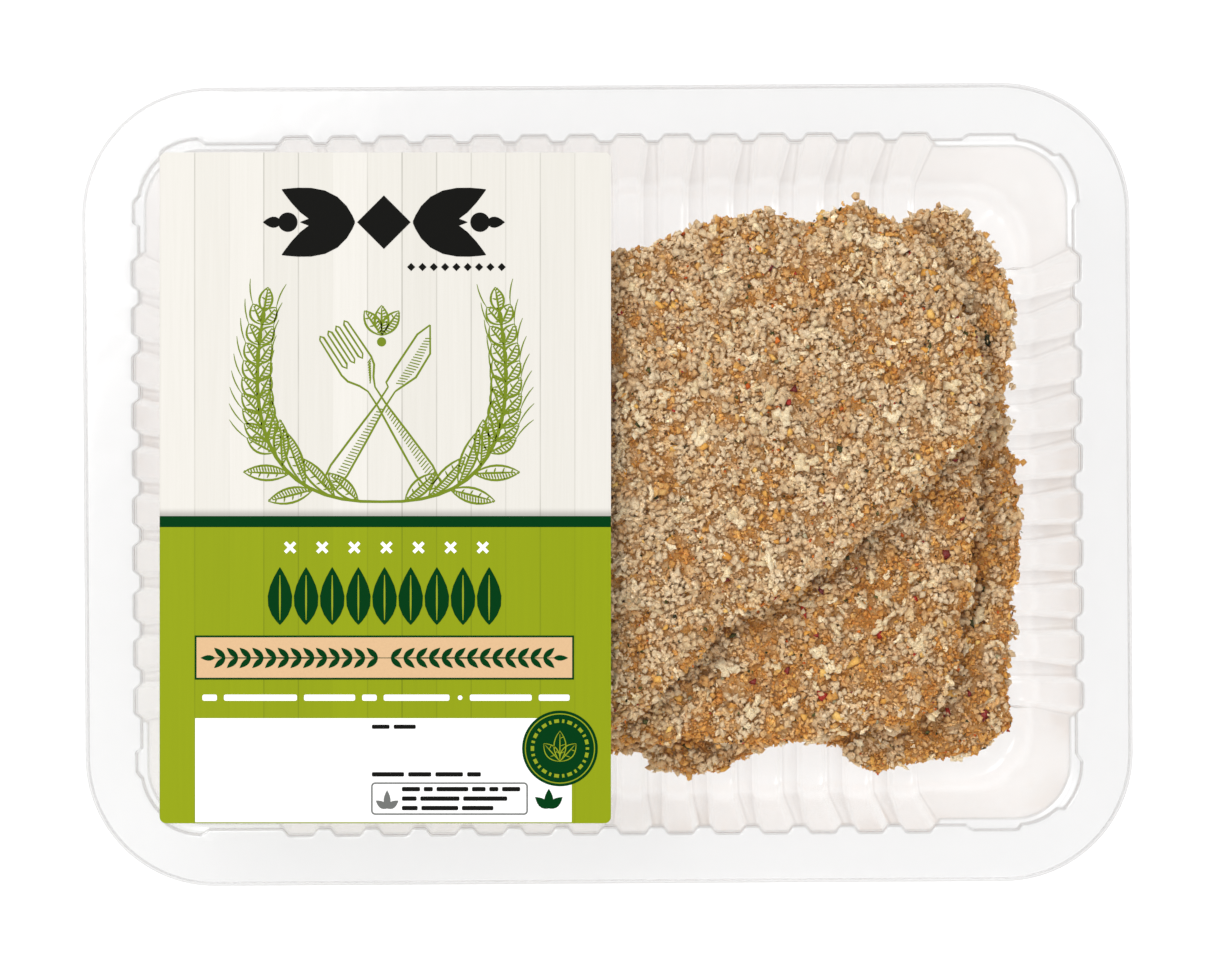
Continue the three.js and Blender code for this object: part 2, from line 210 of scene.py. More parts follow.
def tray_mesh():
    """Draws the sheet down ring by ring from the flange's edge and closes the floor."""
    bm = bmesh.new()
    bend = bm.verts.layers.float.new("bend")
    # ramp carries the flute shoulders' painted highlight (+) and painted shade (-).
    ramp = bm.verts.layers.float.new("ramp")
    stations, rings = tray_stations(), tray_rings()
    loop = [bm.verts.new(tray_point(station, rings[0])) for station in stations]
    edges = [bm.edges.new(pair) for pair in zip(loop, loop[1:] + loop[:1])]
    for vert in loop:
        vert[bend] = rings[0]["bend"]
    for ring in rings[1:]:
        grown = bmesh.ops.extrude_edge_only(bm, edges=edges)["geom"]
        fresh = {item for item in grown if isinstance(item, bmesh.types.BMVert)}
        edges = [item for item in grown if isinstance(item, bmesh.types.BMEdge) and set(item.verts) <= fresh]
        loop = [next(edge.other_vert(vert) for edge in vert.link_edges if edge.other_vert(vert) in fresh)
                for vert in loop]
        for vert, station in zip(loop, stations):
            vert.co = tray_point(station, ring)
            vert[bend] = ring["bend"]
            vert[ramp] = station["ramp"] * ring["marked"]
    floor = bmesh.ops.contextual_create(bm, geom=edges)["faces"][0]
    bmesh.ops.recalc_face_normals(bm, faces=bm.faces)
    if floor.normal.z < 0:
        bmesh.ops.reverse_faces(bm, faces=bm.faces)
    return bm


def piece_from(bm, name, material, shade_smooth=True):
    """Turns a bmesh, already in place and in metres, into a piece that rides on the pack."""
    mesh = bpy.data.meshes.new(name)
    bm.to_mesh(mesh)
    bm.free()
    mesh.shade_smooth() if shade_smooth else mesh.shade_flat()
    piece = bpy.data.objects.new(name, mesh)
    bpy.context.scene.collection.objects.link(piece)
    for each in material if isinstance(material, list) else [material]:
        mesh.materials.append(each)
    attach(piece, "root")
    return piece


def srgb(red, green, blue, alpha=1.0):
    """A colour of 0 to 255 as the linear values that sockets take."""
    return tuple(((c / 255 + 0.055) / 1.055) ** 2.4 if c > 10 else c / 255 / 12.92
                 for c in (red, green, blue)) + (alpha,)


def blank_material(name):
    made = bpy.data.materials.new(name)
    made.use_nodes = True
    return made, made.node_tree, made.node_tree.nodes["Principled BSDF"]


def node(tree, kind, inputs=None, **settings):
    """Adds a node. An input is a value, or another node's output socket to link."""
    made = tree.nodes.new("ShaderNode" + kind)
    for name, value in settings.items():
        setattr(made, name, value)
    for name, value in (inputs or {}).items():
        if isinstance(value, bpy.types.NodeSocket):
            tree.links.new(value, made.inputs[name])
        else:
            made.inputs[name].default_value = value
    return made


def ramp(tree, factor, *stops):
    """A colour ramp through stops of (position, colour)."""
    made = node(tree, "ValToRGB", {"Fac": factor})
    elements = made.color_ramp.elements
    while len(elements) < len(stops):
        elements.new(0.5)
    for element, (position, colour) in zip(elements, stops):
        element.position = position
        element.color = colour
    return made.outputs["Color"]


def worked(tree, operation, *values, clamp=False):
    """The result of a sum on values or sockets."""
    return node(tree, "Math", dict(enumerate(values)), operation=operation, use_clamp=clamp).outputs[0]


def mixed(tree, share, first, second, how="MIX"):
    """Two colours mixed, with that share of the second."""
    blend = {"Factor": share, "A": first, "B": second}
    return node(tree, "Mix", blend, data_type="RGBA", blend_type=how).outputs["Result"]


def ranged(tree, value, start, end, low=0.0, high=1.0, how="LINEAR"):
    """A value that runs from start to end, brought to the range from low to high and held in it."""
    limits = {"Value": value, "From Min": start, "From Max": end, "To Min": low, "To Max": high}
    return node(tree, "MapRange", limits, interpolation_type=how).outputs["Result"]


def clouded(tree, place, scale, detail, roughness=0.5):
    """Smooth noise, 0 to 1, with features about 1 / scale wide in the unit of the place."""
    grain = {"Vector": place, "Scale": scale, "Detail": detail, "Roughness": roughness}
    return node(tree, "TexNoise", grain).outputs["Fac"]


def attribute(tree, name):
    return node(tree, "Attribute", attribute_name=name).outputs["Fac"]


def object_place(tree, scale=(1, 1, 1)):
    """Object coordinates in millimetres, stretched by scale."""
    place = node(tree, "TexCoord").outputs["Object"]
    scaled = [s / MM for s in scale]
    return node(tree, "Mapping", {"Vector": place, "Scale": scaled}).outputs["Vector"]


def clear_sheet_material():
    """Clear sheet: mostly see-through, mirroring more the flatter it is seen, and milky where it bends.
    Its colour holds painted light: a dark line at sharp bends, highlight and shade lines on the flute
    shoulders, and a warm tint on the walls.
    """
    made, tree, shader = blank_material("formed_clear_sheet")
    tree.nodes.remove(shader)
    place = object_place(tree)
    cloud = clouded(tree, place, 0.05, 3.0)
    flow = clouded(tree, place, 0.16, 2.0)
    bump = node(tree, "Bump", {"Height": flow, "Strength": 0.3, "Distance": 0.3 * MM}).outputs["Normal"]
    bend = attribute(tree, "bend")
    # Painted highlight (light) and painted shade line (dark) along the flutes' shoulders, in place of the
    # lamps mirrored and the dark refracted by the curved sheet.
    painted_shoulder_light_and_shade = attribute(tree, "ramp")
    light = worked(tree, "MULTIPLY", painted_shoulder_light_and_shade, 1.0, clamp=True)
    dark = worked(tree, "MULTIPLY", painted_shoulder_light_and_shade, -1.0, clamp=True)
    height = node(tree, "SeparateXYZ", {"Vector": place}).outputs["Z"]
    drawn = ranged(tree, height, 40.0, 43.5, 1.0, 0.0)  # the wall below the mouth is drawn thin
    # Below the mouth the haze tint turns warm: painted light bounced off the schnitzels. Above it is the
    # flange's own grey haze.
    tint = mixed(tree, drawn, srgb(196, 196, 198), srgb(240, 231, 225))
    # Painted shade: a dark line along the sharp bends, where the curved sheet would refract and mirror dark.
    # The haze is also thicker there.
    tint = mixed(tree, bend, tint, srgb(176, 170, 166))
    # A painted highlight, then a painted shade line, on the flute shoulders.
    tint = mixed(tree, light, tint, srgb(252, 249, 246))
    tint = mixed(tree, dark, tint, srgb(206, 194, 187))
    flat = node(tree, "LayerWeight", {"Blend": 0.5, "Normal": bump}).outputs["Facing"]
    milky = worked(tree, "MULTIPLY_ADD", worked(tree, "POWER", flat, 2.0), 0.16, 0.12)
    for cause, strength in ((cloud, 0.03), (drawn, -0.045), (light, 0.04), (dark, 0.05)):
        milky = worked(tree, "MULTIPLY_ADD", cause, strength, milky)
    milky = worked(tree, "MULTIPLY_ADD", bend, 0.3, milky, clamp=True)
    mirror = worked(tree, "MULTIPLY_ADD", worked(tree, "POWER", flat, 4.5), 0.28, 0.03, clamp=True)
    through = node(tree, "BsdfTransparent", {"Color": (0.99, 0.99, 0.99, 1)}).outputs["BSDF"]
    front = node(tree, "BsdfDiffuse", {"Color": tint, "Normal": bump}).outputs["BSDF"]
    back = node(tree, "BsdfTranslucent", {"Color": tint, "Normal": bump}).outputs["BSDF"]
    haze = node(tree, "MixShader", {0: 0.5, 1: front, 2: back}).outputs["Shader"]
    gloss = node(tree, "BsdfGlossy", {"Color": (1, 1, 1, 1), "Roughness": 0.2, "Normal": bump})
    body = node(tree, "MixShader", {0: milky, 1: through, 2: haze}).outputs["Shader"]
    surface = node(tree, "MixShader", {0: mirror, 1: body, 2: gloss.outputs["BSDF"]}).outputs["Shader"]
    tree.links.new(surface, tree.nodes["Material Output"].inputs["Surface"])
    return made


tray = piece_from(tray_mesh(), "tray_sheet", clear_sheet_material())
wall = tray.modifiers.new("sheet", "SOLIDIFY")
wall.thickness = SHEET * MM
wall.offset = -1
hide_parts("tray")


# ---------------------------------------------------------------------------------------------
# The schnitzels. Each is a flattened chicken breast fillet pressed into a wet coat of fine crumb,
# which spiced oil has coloured golden in patches. They are stacked raw, one bent over the next.

SCHNITZELS = ("schnitzel_bottom", "schnitzel_middle", "schnitzel_top")
STAIN_BIAS = {"schnitzel_bottom": 0.24, "schnitzel_middle": 0.28, "schnitzel_top": -0.06}
CORE_VOXEL = 0.72
LUMP_SIZE, LUMP_RISE = 17.0, 0.9  # the meat's own unevenness
CLUMP_SIZE, CLUMP_RISE = 4.6, 1.2  # where the coat has gathered
GRAIN_SIZE, GRAIN_RISE = 1.7, 0.3  # the fine crumb
EDGE_WANDER, EDGE_WANDER_SIZE = 1.1, 5.0
SHOULDER_RISE = 2.1  # the coat gathers on the upper edge
UNDERCUT = 1.3  # and the lower edge draws in under it
STAIN_BROAD, STAIN_FINE = 11.0, 2.6  # the sizes of the oil's patches and of the spots in them
STAIN_FADE, STAIN_FADE_SHARE = 30.0, 0.3  # the bias fades over this length, this share before the middle
LEAST_HEIGHT = SHEET + FLOOR_RISE + 0.05
STAIN_TINT = (1.0, 0.74, 0.24, 1)
# The painted shade of the coat's gaps: its tint, and how much of it at the deepest.
PAINTED_GAP_SHADE, PAINTED_GAP_SHADE_MOST = (0.80, 0.59, 0.30, 1), 0.95
FINE_CRUMB = ((0.15, srgb(196, 158, 114)), (0.4, srgb(208, 173, 130)), (0.6, srgb(218, 187, 146)),
              (0.85, srgb(228, 201, 164)))
# painted shade for the crevices of the fine crumb
PAINTED_CREVICE_SHADE = srgb(148, 98, 40)


def mesh_arrays(mesh):
    """A mesh's corners and normals, in millimetres."""
    places = np.empty(len(mesh.vertices) * 3, np.float32)
    mesh.vertices.foreach_get("co", places)
    normals = np.empty(len(mesh.vertices) * 3, np.float32)
    mesh.vertices.foreach_get("normal", normals)
    return places.reshape(-1, 3) / MM, normals.reshape(-1, 3)


def wander(places, size, seed, octaves=2):
    """Smooth noise from about -0.5 to 0.5 at each place, with features of that size."""
    shift = Vector((seed * 3.7, seed * 1.9, seed * 5.3))
    return np.array([noise.fractal(Vector(p) / size + shift, 1.0, 2.0, octaves) for p in places])


def eased(t):
    t = np.clip(t, 0, 1)
    return t * t * (3 - 2 * t)


def stain_share(places, facing_up, name):
    """How far the coat is tinted golden, 0 to 1: by spiced oil in patches, and more along the edges, where
    the coat turns away from facing up.
    """
    seed = 50 + 10 * SCHNITZELS.index(name)
    t = 0.5 * wander(places, STAIN_BROAD, seed) + 0.9 * wander(places, STAIN_FINE, seed + 3, octaves=3)
    near = 1 - eased(places[:, 1] / STAIN_FADE + STAIN_FADE_SHARE)
    t += STAIN_BIAS[name] * near + 0.35 * (1 - np.clip(facing_up, 0, 1))
    return eased(0.16 + 1.15 * t)


def core_mesh(name, seed):
    """The pressed fillet: the solid's own form, made even and fine, then lumped and grained."""
    bm = bmesh.new()
    bm.from_mesh(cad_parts[name].data)
    bmesh.ops.remove_doubles(bm, verts=bm.verts, dist=0.01 * MM)
    bmesh.ops.recalc_face_normals(bm, faces=bm.faces)
    rough = bpy.data.meshes.new(name + "_rough")
    bm.to_mesh(rough)
    bm.free()
    holder = bpy.data.objects.new(name + "_rough", rough)
    bpy.context.scene.collection.objects.link(holder)
    remesh = holder.modifiers.new("even", "REMESH")
    remesh.mode = "VOXEL"
    remesh.voxel_size = CORE_VOXEL * MM
    ease = holder.modifiers.new("ease", "SMOOTH")
    ease.factor, ease.iterations = 0.5, 6
    evaluated = holder.evaluated_get(bpy.context.evaluated_depsgraph_get())
    mesh = bpy.data.meshes.new_from_object(evaluated)
    bpy.data.objects.remove(holder)
    places, normals = mesh_arrays(mesh)
    sideways = normals * (1, 1, 0)
    stain = stain_share(places, normals[:, 2], name)
    relief = (LUMP_RISE * wander(places, LUMP_SIZE, seed) + CLUMP_RISE * wander(places, CLUMP_SIZE, seed + 7)
              + GRAIN_RISE * wander(places, GRAIN_SIZE, seed + 13))
    sloping = np.clip(normals[:, 2], 0, 1)
    facing_down = np.clip(-normals[:, 2], 0, 1)
    places += normals * (relief * (1 - 0.6 * facing_down))[:, None]
    places += sideways * (EDGE_WANDER * wander(places, EDGE_WANDER_SIZE, seed + 21))[:, None]
    places[:, 2] += SHOULDER_RISE * 6.75 * sloping * (1 - sloping) ** 2  # 6.75 brings the peak to 1
    drawn_in = np.clip(-2.5 * normals[:, 2], 0, 1) * np.linalg.norm(sideways, axis=1)
    places -= sideways * (UNDERCUT * drawn_in)[:, None]
    places[:, 2] = np.maximum(places[:, 2], LEAST_HEIGHT)
    mesh.vertices.foreach_set("co", (places * MM).astype(np.float32).ravel())
    # How high each spot stands in the relief; the low spots take the painted shade of the hollows.
    grains, clumps = wander(places, GRAIN_SIZE, seed + 13), wander(places, CLUMP_SIZE, seed + 7)
    high = np.clip(0.35 + 0.8 * grains + 0.3 * clumps, 0, 1)
    for layer, values in (("stain", stain), ("high", high)):
        mesh.attributes.new(layer, "FLOAT", "POINT").data.foreach_set("value", values.astype(np.float32))
    mesh.update()
    return mesh


def stained(tree, colour, strength):
    """Tints a colour golden by the piece's own stain attribute."""
    share = worked(tree, "MULTIPLY", attribute(tree, "stain"), strength, clamp=True)
    return mixed(tree, share, colour, STAIN_TINT, how="MULTIPLY")


def painted_depth_shade(tree, colour):
    """Painted shade: darkens and browns a colour the deeper it lies in the coat, as the gaps between the
    crumbs are shaded.
    """
    share = ranged(tree, attribute(tree, "high"), 0, 1, PAINTED_GAP_SHADE_MOST, 0.0, how="SMOOTHSTEP")
    return mixed(tree, share, colour, PAINTED_GAP_SHADE, how="MULTIPLY")


def crumb_base_material():
    """The fine crumb between the loose grains: tan over the wet coat, with painted shade, brown, in the
    crevices between its cells and in its low spots.
    """
    made, tree, shader = blank_material("fine_crumb_coat")
    place = object_place(tree)
    cells = node(tree, "TexVoronoi", {"Vector": place, "Scale": 1.15})
    small = node(tree, "TexVoronoi", {"Vector": place, "Scale": 2.9})
    tone = node(tree, "SeparateColor", {"Color": cells.outputs["Color"]}).outputs["Red"]
    spot = node(tree, "SeparateColor", {"Color": small.outputs["Color"]}).outputs["Red"]
    patch = ranged(tree, clouded(tree, place, 0.32, 3.0, 0.6), 0.3, 0.7)
    grains = node(tree, "Mix", {"Factor": 0.4, "A": tone, "B": spot}).outputs["Result"]
    both = node(tree, "Mix", {"Factor": 0.7, "A": grains, "B": patch}).outputs["Result"]
    # Painted shade: the cells' edges, which the bump sinks, darken to brown.
    crevice_shade = ranged(tree, cells.outputs["Distance"], 0.3, 0.8, 0.0, 0.4)
    deep = mixed(tree, crevice_shade, painted_depth_shade(tree, ramp(tree, both, *FINE_CRUMB)), PAINTED_CREVICE_SHADE)
    tree.links.new(stained(tree, deep, 0.5), shader.inputs["Base Color"])
    fine = clouded(tree, place, 2.6, 3.0)
    height = worked(tree, "MULTIPLY_ADD", cells.outputs["Distance"], -0.8, fine)
    bump = node(tree, "Bump", {"Height": height, "Strength": 0.9, "Distance": 0.5 * MM})
    tree.links.new(bump.outputs["Normal"], shader.inputs["Normal"])
    tree.links.new(ranged(tree, fine, 0, 1, 0.6, 0.9), shader.inputs["Roughness"])
    shader.inputs["Specular IOR Level"].default_value = 0.1
    return made


crumb_base = crumb_base_material()
cores = {}
for seed, name in enumerate(SCHNITZELS):
    bm = bmesh.new()
    bm.from_mesh(core_mesh(name, seed * 10 + 1))
    cores[name] = piece_from(bm, name + "_core", crumb_base)
    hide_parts(name)


# ---------------------------------------------------------------------------------------------
# The loose crumbs. Coarse dry breadcrumbs are pressed onto the wet coat, from dust to torn pieces
# of some millimetres. They lie several deep, and each sort tends to lie with its own.

CRUMBS_PER_MM2 = 2.95
HIDDEN_SHARE = 0.06  # of that number under the label and wherever the stack hides the coat
CRUMB_LEAST, CRUMB_MOST = 0.45, 3.2
TINY, TORN = 1.15, 2.15  # crumbs under the first size are plain, and those over the second are torn
LABEL_EDGE_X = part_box("label")[1].x / MM
LABEL_MARGIN = 4.0  # how far under the label's edge the coat is still finished in full
LOOSE = {  # share, middle size, spread, least and most stand, darkest and palest colour
    "crumbs_cream": (0.21, 1.00, 0.50, 0.15, 0.60, (212, 185, 147), (233, 213, 180)),
    "crumbs_beige": (0.23, 0.92, 0.48, 0.05, 0.50, (208, 174, 132), (230, 204, 165)),
    "crumbs_sand": (0.24, 0.86, 0.44, 0.00, 0.45, (204, 164, 116), (228, 195, 151)),
    "crumbs_golden": (0.22, 0.84, 0.44, -0.05, 0.40, (206, 156, 92), (230, 190, 125)),
    "crumbs_toasted": (0.10, 0.76, 0.42, -0.05, 0.40, (195, 140, 78), (220, 175, 116)),
}
DUST_COUNT, DUST_SIZE = 9000, 0.45
# The painted shade in the gaps fades upwards from a grain's foot over COAT_DEPTH.
COAT_LOW, COAT_DEPTH = 0.2, 0.75  # how high a grain's foot counts, and over what height it pales
CLUMP_LIKE = 3.8  # crumbs within this distance tend to be of one sort and tone
# painted shade in each crumb's pits:
PIT_SHADE = (0.84, 0.68, 0.38)  # a crumb's pits against its darkest colour
LET_THROUGH, SOAK_DEPTH = 0.85, 0.6  # how much light soaks into bread, and how far
rng = np.random.default_rng(41)


def shape_arrays(bm):
    places = np.array([vert.co for vert in bm.verts])
    faces = np.array([[vert.index for vert in face.verts] for face in bm.faces])
    bm.free()
    return places, faces


def shard_shapes(corners, count=14):
    """Angular broken crumbs of unit size, each the hull of a few corners set round a middle."""
    shapes = []
    for _ in range(count):
        bm = bmesh.new()
        for i in range(corners):
            up = 1 - 2 * (i + 0.5) / corners
            around = 2.4 * i + rng.uniform(-0.5, 0.5)
            out = Vector((math.cos(around), math.sin(around), 0)) * math.sqrt(1 - up * up)
            out.z = up
            bmesh.ops.create_vert(bm, co=out * rng.uniform(0.26, 0.66))
        bmesh.ops.convex_hull(bm, input=bm.verts)
        bmesh.ops.delete(bm, geom=[vert for vert in bm.verts if not vert.link_faces], context="VERTS")
        bm.verts.index_update()
        shapes.append(shape_arrays(bm))
    return shapes


def torn_shapes(count=14, lumps=4, flat=1.0):
    """Larger torn pieces of unit size: a few broken lumps that run into each other."""
    shapes = []
    for _ in range(count):
        picked = [shard_shapes(8, count=1)[0] for _ in range(lumps)]
        places = [shape * rng.uniform(0.4, 0.75) + rng.normal(scale=0.22, size=3) * (1, 1, flat)
                  for shape, _ in picked]
        starts = np.cumsum([0] + [len(shape) for shape, _ in picked])
        faces = [triangles + start for (_, triangles), start in zip(picked, starts)]
        shapes.append((np.concatenate(places), np.concatenate(faces)))
    return shapes


def turned(count):
    """Random rotations."""
    q = rng.normal(size=(count, 4))
    q /= np.linalg.norm(q, axis=1)[:, None]
    w, x, y, z = q.T
    rows = [1 - 2 * (y * y + z * z), 2 * (x * y - z * w), 2 * (x * z + y * w),
            2 * (x * y + z * w), 1 - 2 * (x * x + z * z), 2 * (y * z - x * w),
            2 * (x * z - y * w), 2 * (y * z + x * w), 1 - 2 * (x * x + y * y)]
    return np.stack(rows, axis=1).reshape(-1, 3, 3)


def laid(outs, tilt=0.25):
    """Rotations that lay a flake's z axis along each surface's normal, spun at random and a little tilted."""
    z = outs + rng.normal(scale=tilt, size=outs.shape)
    z /= np.linalg.norm(z, axis=1)[:, None]
    x = np.cross(z, rng.normal(size=outs.shape))
    x /= np.linalg.norm(x, axis=1)[:, None]
    return np.stack([x, np.cross(z, x), z], axis=2)


def scattered_piece(name, sorts, places, turns, sizes, tones, stains, material, outs=None, stands=0.0):
    """Joins copies of shapes into one piece, each with its own tone and stain. Sorts are pairs of the
    largest size they serve and their shapes, smallest first. Sizes are in millimetres."""
    verts, faces, tone_of, stain_of, high_of = [], [], [], [], []
    stands = np.broadcast_to(stands, len(places))
    start, least = 0, 0.0
    for most, shapes in sorts:
        fits = (sizes[:, 0] >= least) & (sizes[:, 0] < most)
        least = most
        pick = np.where(fits, rng.integers(len(shapes), size=len(places)), -1)
        for kind, (shape, triangles) in enumerate(shapes):
            mine = pick == kind
            grains = np.einsum("nij,nvj->nvi", turns[mine], shape[None] * sizes[mine][:, None])
            if outs is None:
                high_of.append(np.ones(grains.shape[0] * grains.shape[1]))
            else:
                # How far each corner stands above the coat, for the painted shade of the gaps.
                high = np.einsum("nvi,ni->nv", grains, outs[mine]) + stands[mine][:, None]
                high_of.append(np.clip(COAT_LOW + high / COAT_DEPTH, 0, 1).ravel())
            grains += places[mine][:, None]
            count, corners = grains.shape[:2]
            verts.append(grains.reshape(-1, 3))
            firsts = start + np.arange(count) * corners
            faces.append((triangles[None] + firsts[:, None, None]).reshape(-1, 3))
            tone_of.append(np.repeat(tones[mine], corners))
            stain_of.append(np.repeat(stains[mine], corners))
            start += count * corners
    verts, faces = np.concatenate(verts) * MM, np.concatenate(faces)
    mesh = bpy.data.meshes.new(name)
    mesh.vertices.add(len(verts))
    mesh.vertices.foreach_set("co", verts.astype(np.float32).ravel())
    mesh.loops.add(faces.size)
    mesh.loops.foreach_set("vertex_index", faces.astype(np.int32).ravel())
    mesh.polygons.add(len(faces))
    mesh.polygons.foreach_set("loop_start", np.arange(0, faces.size, 3, dtype=np.int32))
    mesh.update(calc_edges=True)
    mesh.validate()
    for layer, values in (("tone", tone_of), ("stain", stain_of), ("high", high_of)):
        written = mesh.attributes.new(layer, "FLOAT", "POINT")
        written.data.foreach_set("value", np.concatenate(values).astype(np.float32))
    mesh.materials.append(material)
    piece = bpy.data.objects.new(name, mesh)
    bpy.context.scene.collection.objects.link(piece)
    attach(piece, "root")


def sampled(name, wanted):
    """Places and normals strewn over a core, few of them under the label and beneath, and the share
    kept at each. Wanted is a function that gives their number for the area, weighted by that share."""
    mesh = cores[name].data
    mesh.calc_loop_triangles()
    corners = np.empty(len(mesh.loop_triangles) * 3, np.int32)
    mesh.loop_triangles.foreach_get("vertices", corners)
    places, normals = mesh_arrays(mesh)
    corners = corners.reshape(-1, 3)
    a, b, c = (places[corners[:, i]] for i in range(3))
    area = np.linalg.norm(np.cross(b - a, c - a), axis=1) / 2
    middle, facing = (a + b + c) / 3, normals[corners].mean(axis=1)
    shows = (middle[:, 0] > LABEL_EDGE_X - LABEL_MARGIN) & (facing[:, 2] > -0.5)
    share = np.where(shows, 1.0, HIDDEN_SHARE)
    weight = area * share
    chosen = rng.choice(len(area), size=int(wanted(weight.sum())), p=weight / weight.sum())
    u, v = rng.random((2, len(chosen), 1))
    flip = (u + v) > 1
    u, v = np.where(flip, 1 - u, u), np.where(flip, 1 - v, v)
    spots = a[chosen] + u * (b - a)[chosen] + v * (c - a)[chosen]
    out = facing[chosen]
    return spots, out / np.linalg.norm(out, axis=1)[:, None], share[chosen]


SIGHT_LINES = [Vector((0, 0, 1))] + [
    Vector((math.cos(math.tau * i / 8), math.sin(math.tau * i / 8), 0.6)).normalized() for i in range(8)]


def in_sight(spot, out):
    """Whether a spot on the coat can be seen from above or from a little over the table."""
    start = (Vector(spot) + Vector(out) * 0.4) * MM
    return any(all(tree.ray_cast(start, line)[0] is None for tree in core_trees.values())
               for line in SIGHT_LINES)


def strewn(density=None, total=None):
    """Places, normals and stains over all three schnitzels, for a density per square millimetre or
    for a total, less those that can't be seen."""
    wanted = (lambda area: area * density) if density else (lambda area: total / len(SCHNITZELS))
    spots, outs, stains = [], [], []
    for name in SCHNITZELS:
        places, facing, share = sampled(name, wanted)
        luck = rng.random(len(places)) < HIDDEN_SHARE / share
        kept = np.array([lucky or in_sight(spot, out) for spot, out, lucky in zip(places, facing, luck)])
        places, facing = places[kept], facing[kept]
        spots.append(places)
        outs.append(facing)
        stains.append(stain_share(places, facing[:, 2], name))
    return np.concatenate(spots), np.concatenate(outs), np.concatenate(stains)


def crumb_material(name, darkest, palest, tint=0.5, roughness=(0.6, 0.88), gloss=0.1,
                   let_through=LET_THROUGH):
    """Crumb of one bake: each grain its own tone, mottled and pitted like torn bread, with painted shade in
    its pits and low in the coat.
    """
    made, tree, shader = blank_material(name)
    place = object_place(tree)
    mottle = clouded(tree, place, 1.9, 3.0, 0.65)
    blend = {"Factor": 0.22, "A": attribute(tree, "tone"), "B": ranged(tree, mottle, 0.3, 0.7)}
    shade = node(tree, "Mix", blend).outputs["Result"]
    middle = tuple((a + b) / 2 for a, b in zip(darkest, palest))
    colour = ramp(tree, shade, (0.08, srgb(*darkest)), (0.5, srgb(*middle)), (0.85, srgb(*palest)))
    # Painted shade in the pits, which the bump sinks.
    pits = node(tree, "TexVoronoi", {"Vector": place, "Scale": 3.3}).outputs["Distance"]
    painted_pit_shade = srgb(*[c * share for c, share in zip(darkest, PIT_SHADE)])
    deep = mixed(tree, ranged(tree, pits, 0.45, 0.8, 0.0, 0.3), colour, painted_pit_shade)
    # Painted shade by depth in the coat, then the golden stain.
    tree.links.new(stained(tree, painted_depth_shade(tree, deep), tint), shader.inputs["Base Color"])
    bump = node(tree, "Bump", {"Height": pits, "Strength": 0.5, "Distance": -0.25 * MM})
    tree.links.new(bump.outputs["Normal"], shader.inputs["Normal"])
    tree.links.new(ranged(tree, mottle, 0, 1, *roughness), shader.inputs["Roughness"])
    shader.inputs["Specular IOR Level"].default_value = gloss
    shader.subsurface_method = "BURLEY"
    shader.inputs["Subsurface Weight"].default_value = let_through
    shader.inputs["Subsurface Radius"].default_value = (1.0, 1.0, 1.0)
    shader.inputs["Subsurface Scale"].default_value = SOAK_DEPTH * MM
    return made


def off_the_floor(middles, sizes):
    """Lifts grains under the stack onto the tray's floor. The ends of the longest still reach into it."""
    middles[:, 2] = np.maximum(middles[:, 2], LEAST_HEIGHT + 0.6 * sizes)
    return middles


core_trees = {}
for name, core in cores.items():
    bm = bmesh.new()
    bm.from_mesh(core.data)
    core_trees[name] = BVHTree.FromBMesh(bm)
    bm.free()

tiny_grains, grains, torn = shard_shapes(6), shard_shapes(7), torn_shapes()
crumb_sorts = ((TINY, tiny_grains), (TORN, grains), (CRUMB_MOST * 2, torn))
spots, outs, stains = strewn(density=CRUMBS_PER_MM2)
sort = 0.2 * rng.random(len(spots)) + 0.8 * stains - 0.8 * wander(spots, CLUMP_LIKE, 77)
order = np.argsort(np.argsort(sort)) / len(sort)
below = 0.0
for name, (share, middle_size, spread, least_stand, most_stand, darkest, palest) in LOOSE.items():
    mine = (order >= below) & (order < below + share)
    below += share
    count = int(mine.sum())
    size = np.clip(rng.lognormal(math.log(middle_size), spread, count), CRUMB_LEAST, CRUMB_MOST)
    stretch = rng.uniform(0.65, 1.3, (count, 3)) * size[:, None]
    stretch[:, 0] = size
    stand = rng.uniform(least_stand, most_stand, count) * size  # its middle off the coat
    middles = off_the_floor(spots[mine] + outs[mine] * stand[:, None], size)
    tone = np.clip(0.5 + 0.6 * wander(spots[mine], CLUMP_LIKE, 91) + rng.uniform(-0.25, 0.25, count), 0, 1)
    scattered_piece(name, crumb_sorts, middles, turned(count), stretch, tone, stains[mine],
                    crumb_material(name + "_bread", darkest, palest), outs[mine], stand)

spots, outs, stains = strewn(total=DUST_COUNT)
count = len(spots)
size = rng.uniform(0.6, 1.4, count) * DUST_SIZE
middles = off_the_floor(spots + outs * rng.uniform(0.1, 0.8, (count, 1)), size)
scattered_piece("crumb_dust", ((1.0, tiny_grains),), middles, turned(count),
                np.repeat(size[:, None], 3, axis=1), rng.random(count), stains,
                crumb_material("crumb_dust_bread", (214, 170, 120), (248, 220, 184)))


# ---------------------------------------------------------------------------------------------
# The seasoning. Flakes of chilli, paprika, dried herbs, cracked pepper, golden crust, onion and pale
# bread are mixed into the crumb, so they lie flat in it: the largest where they fell, the small
# ones strewn all over.

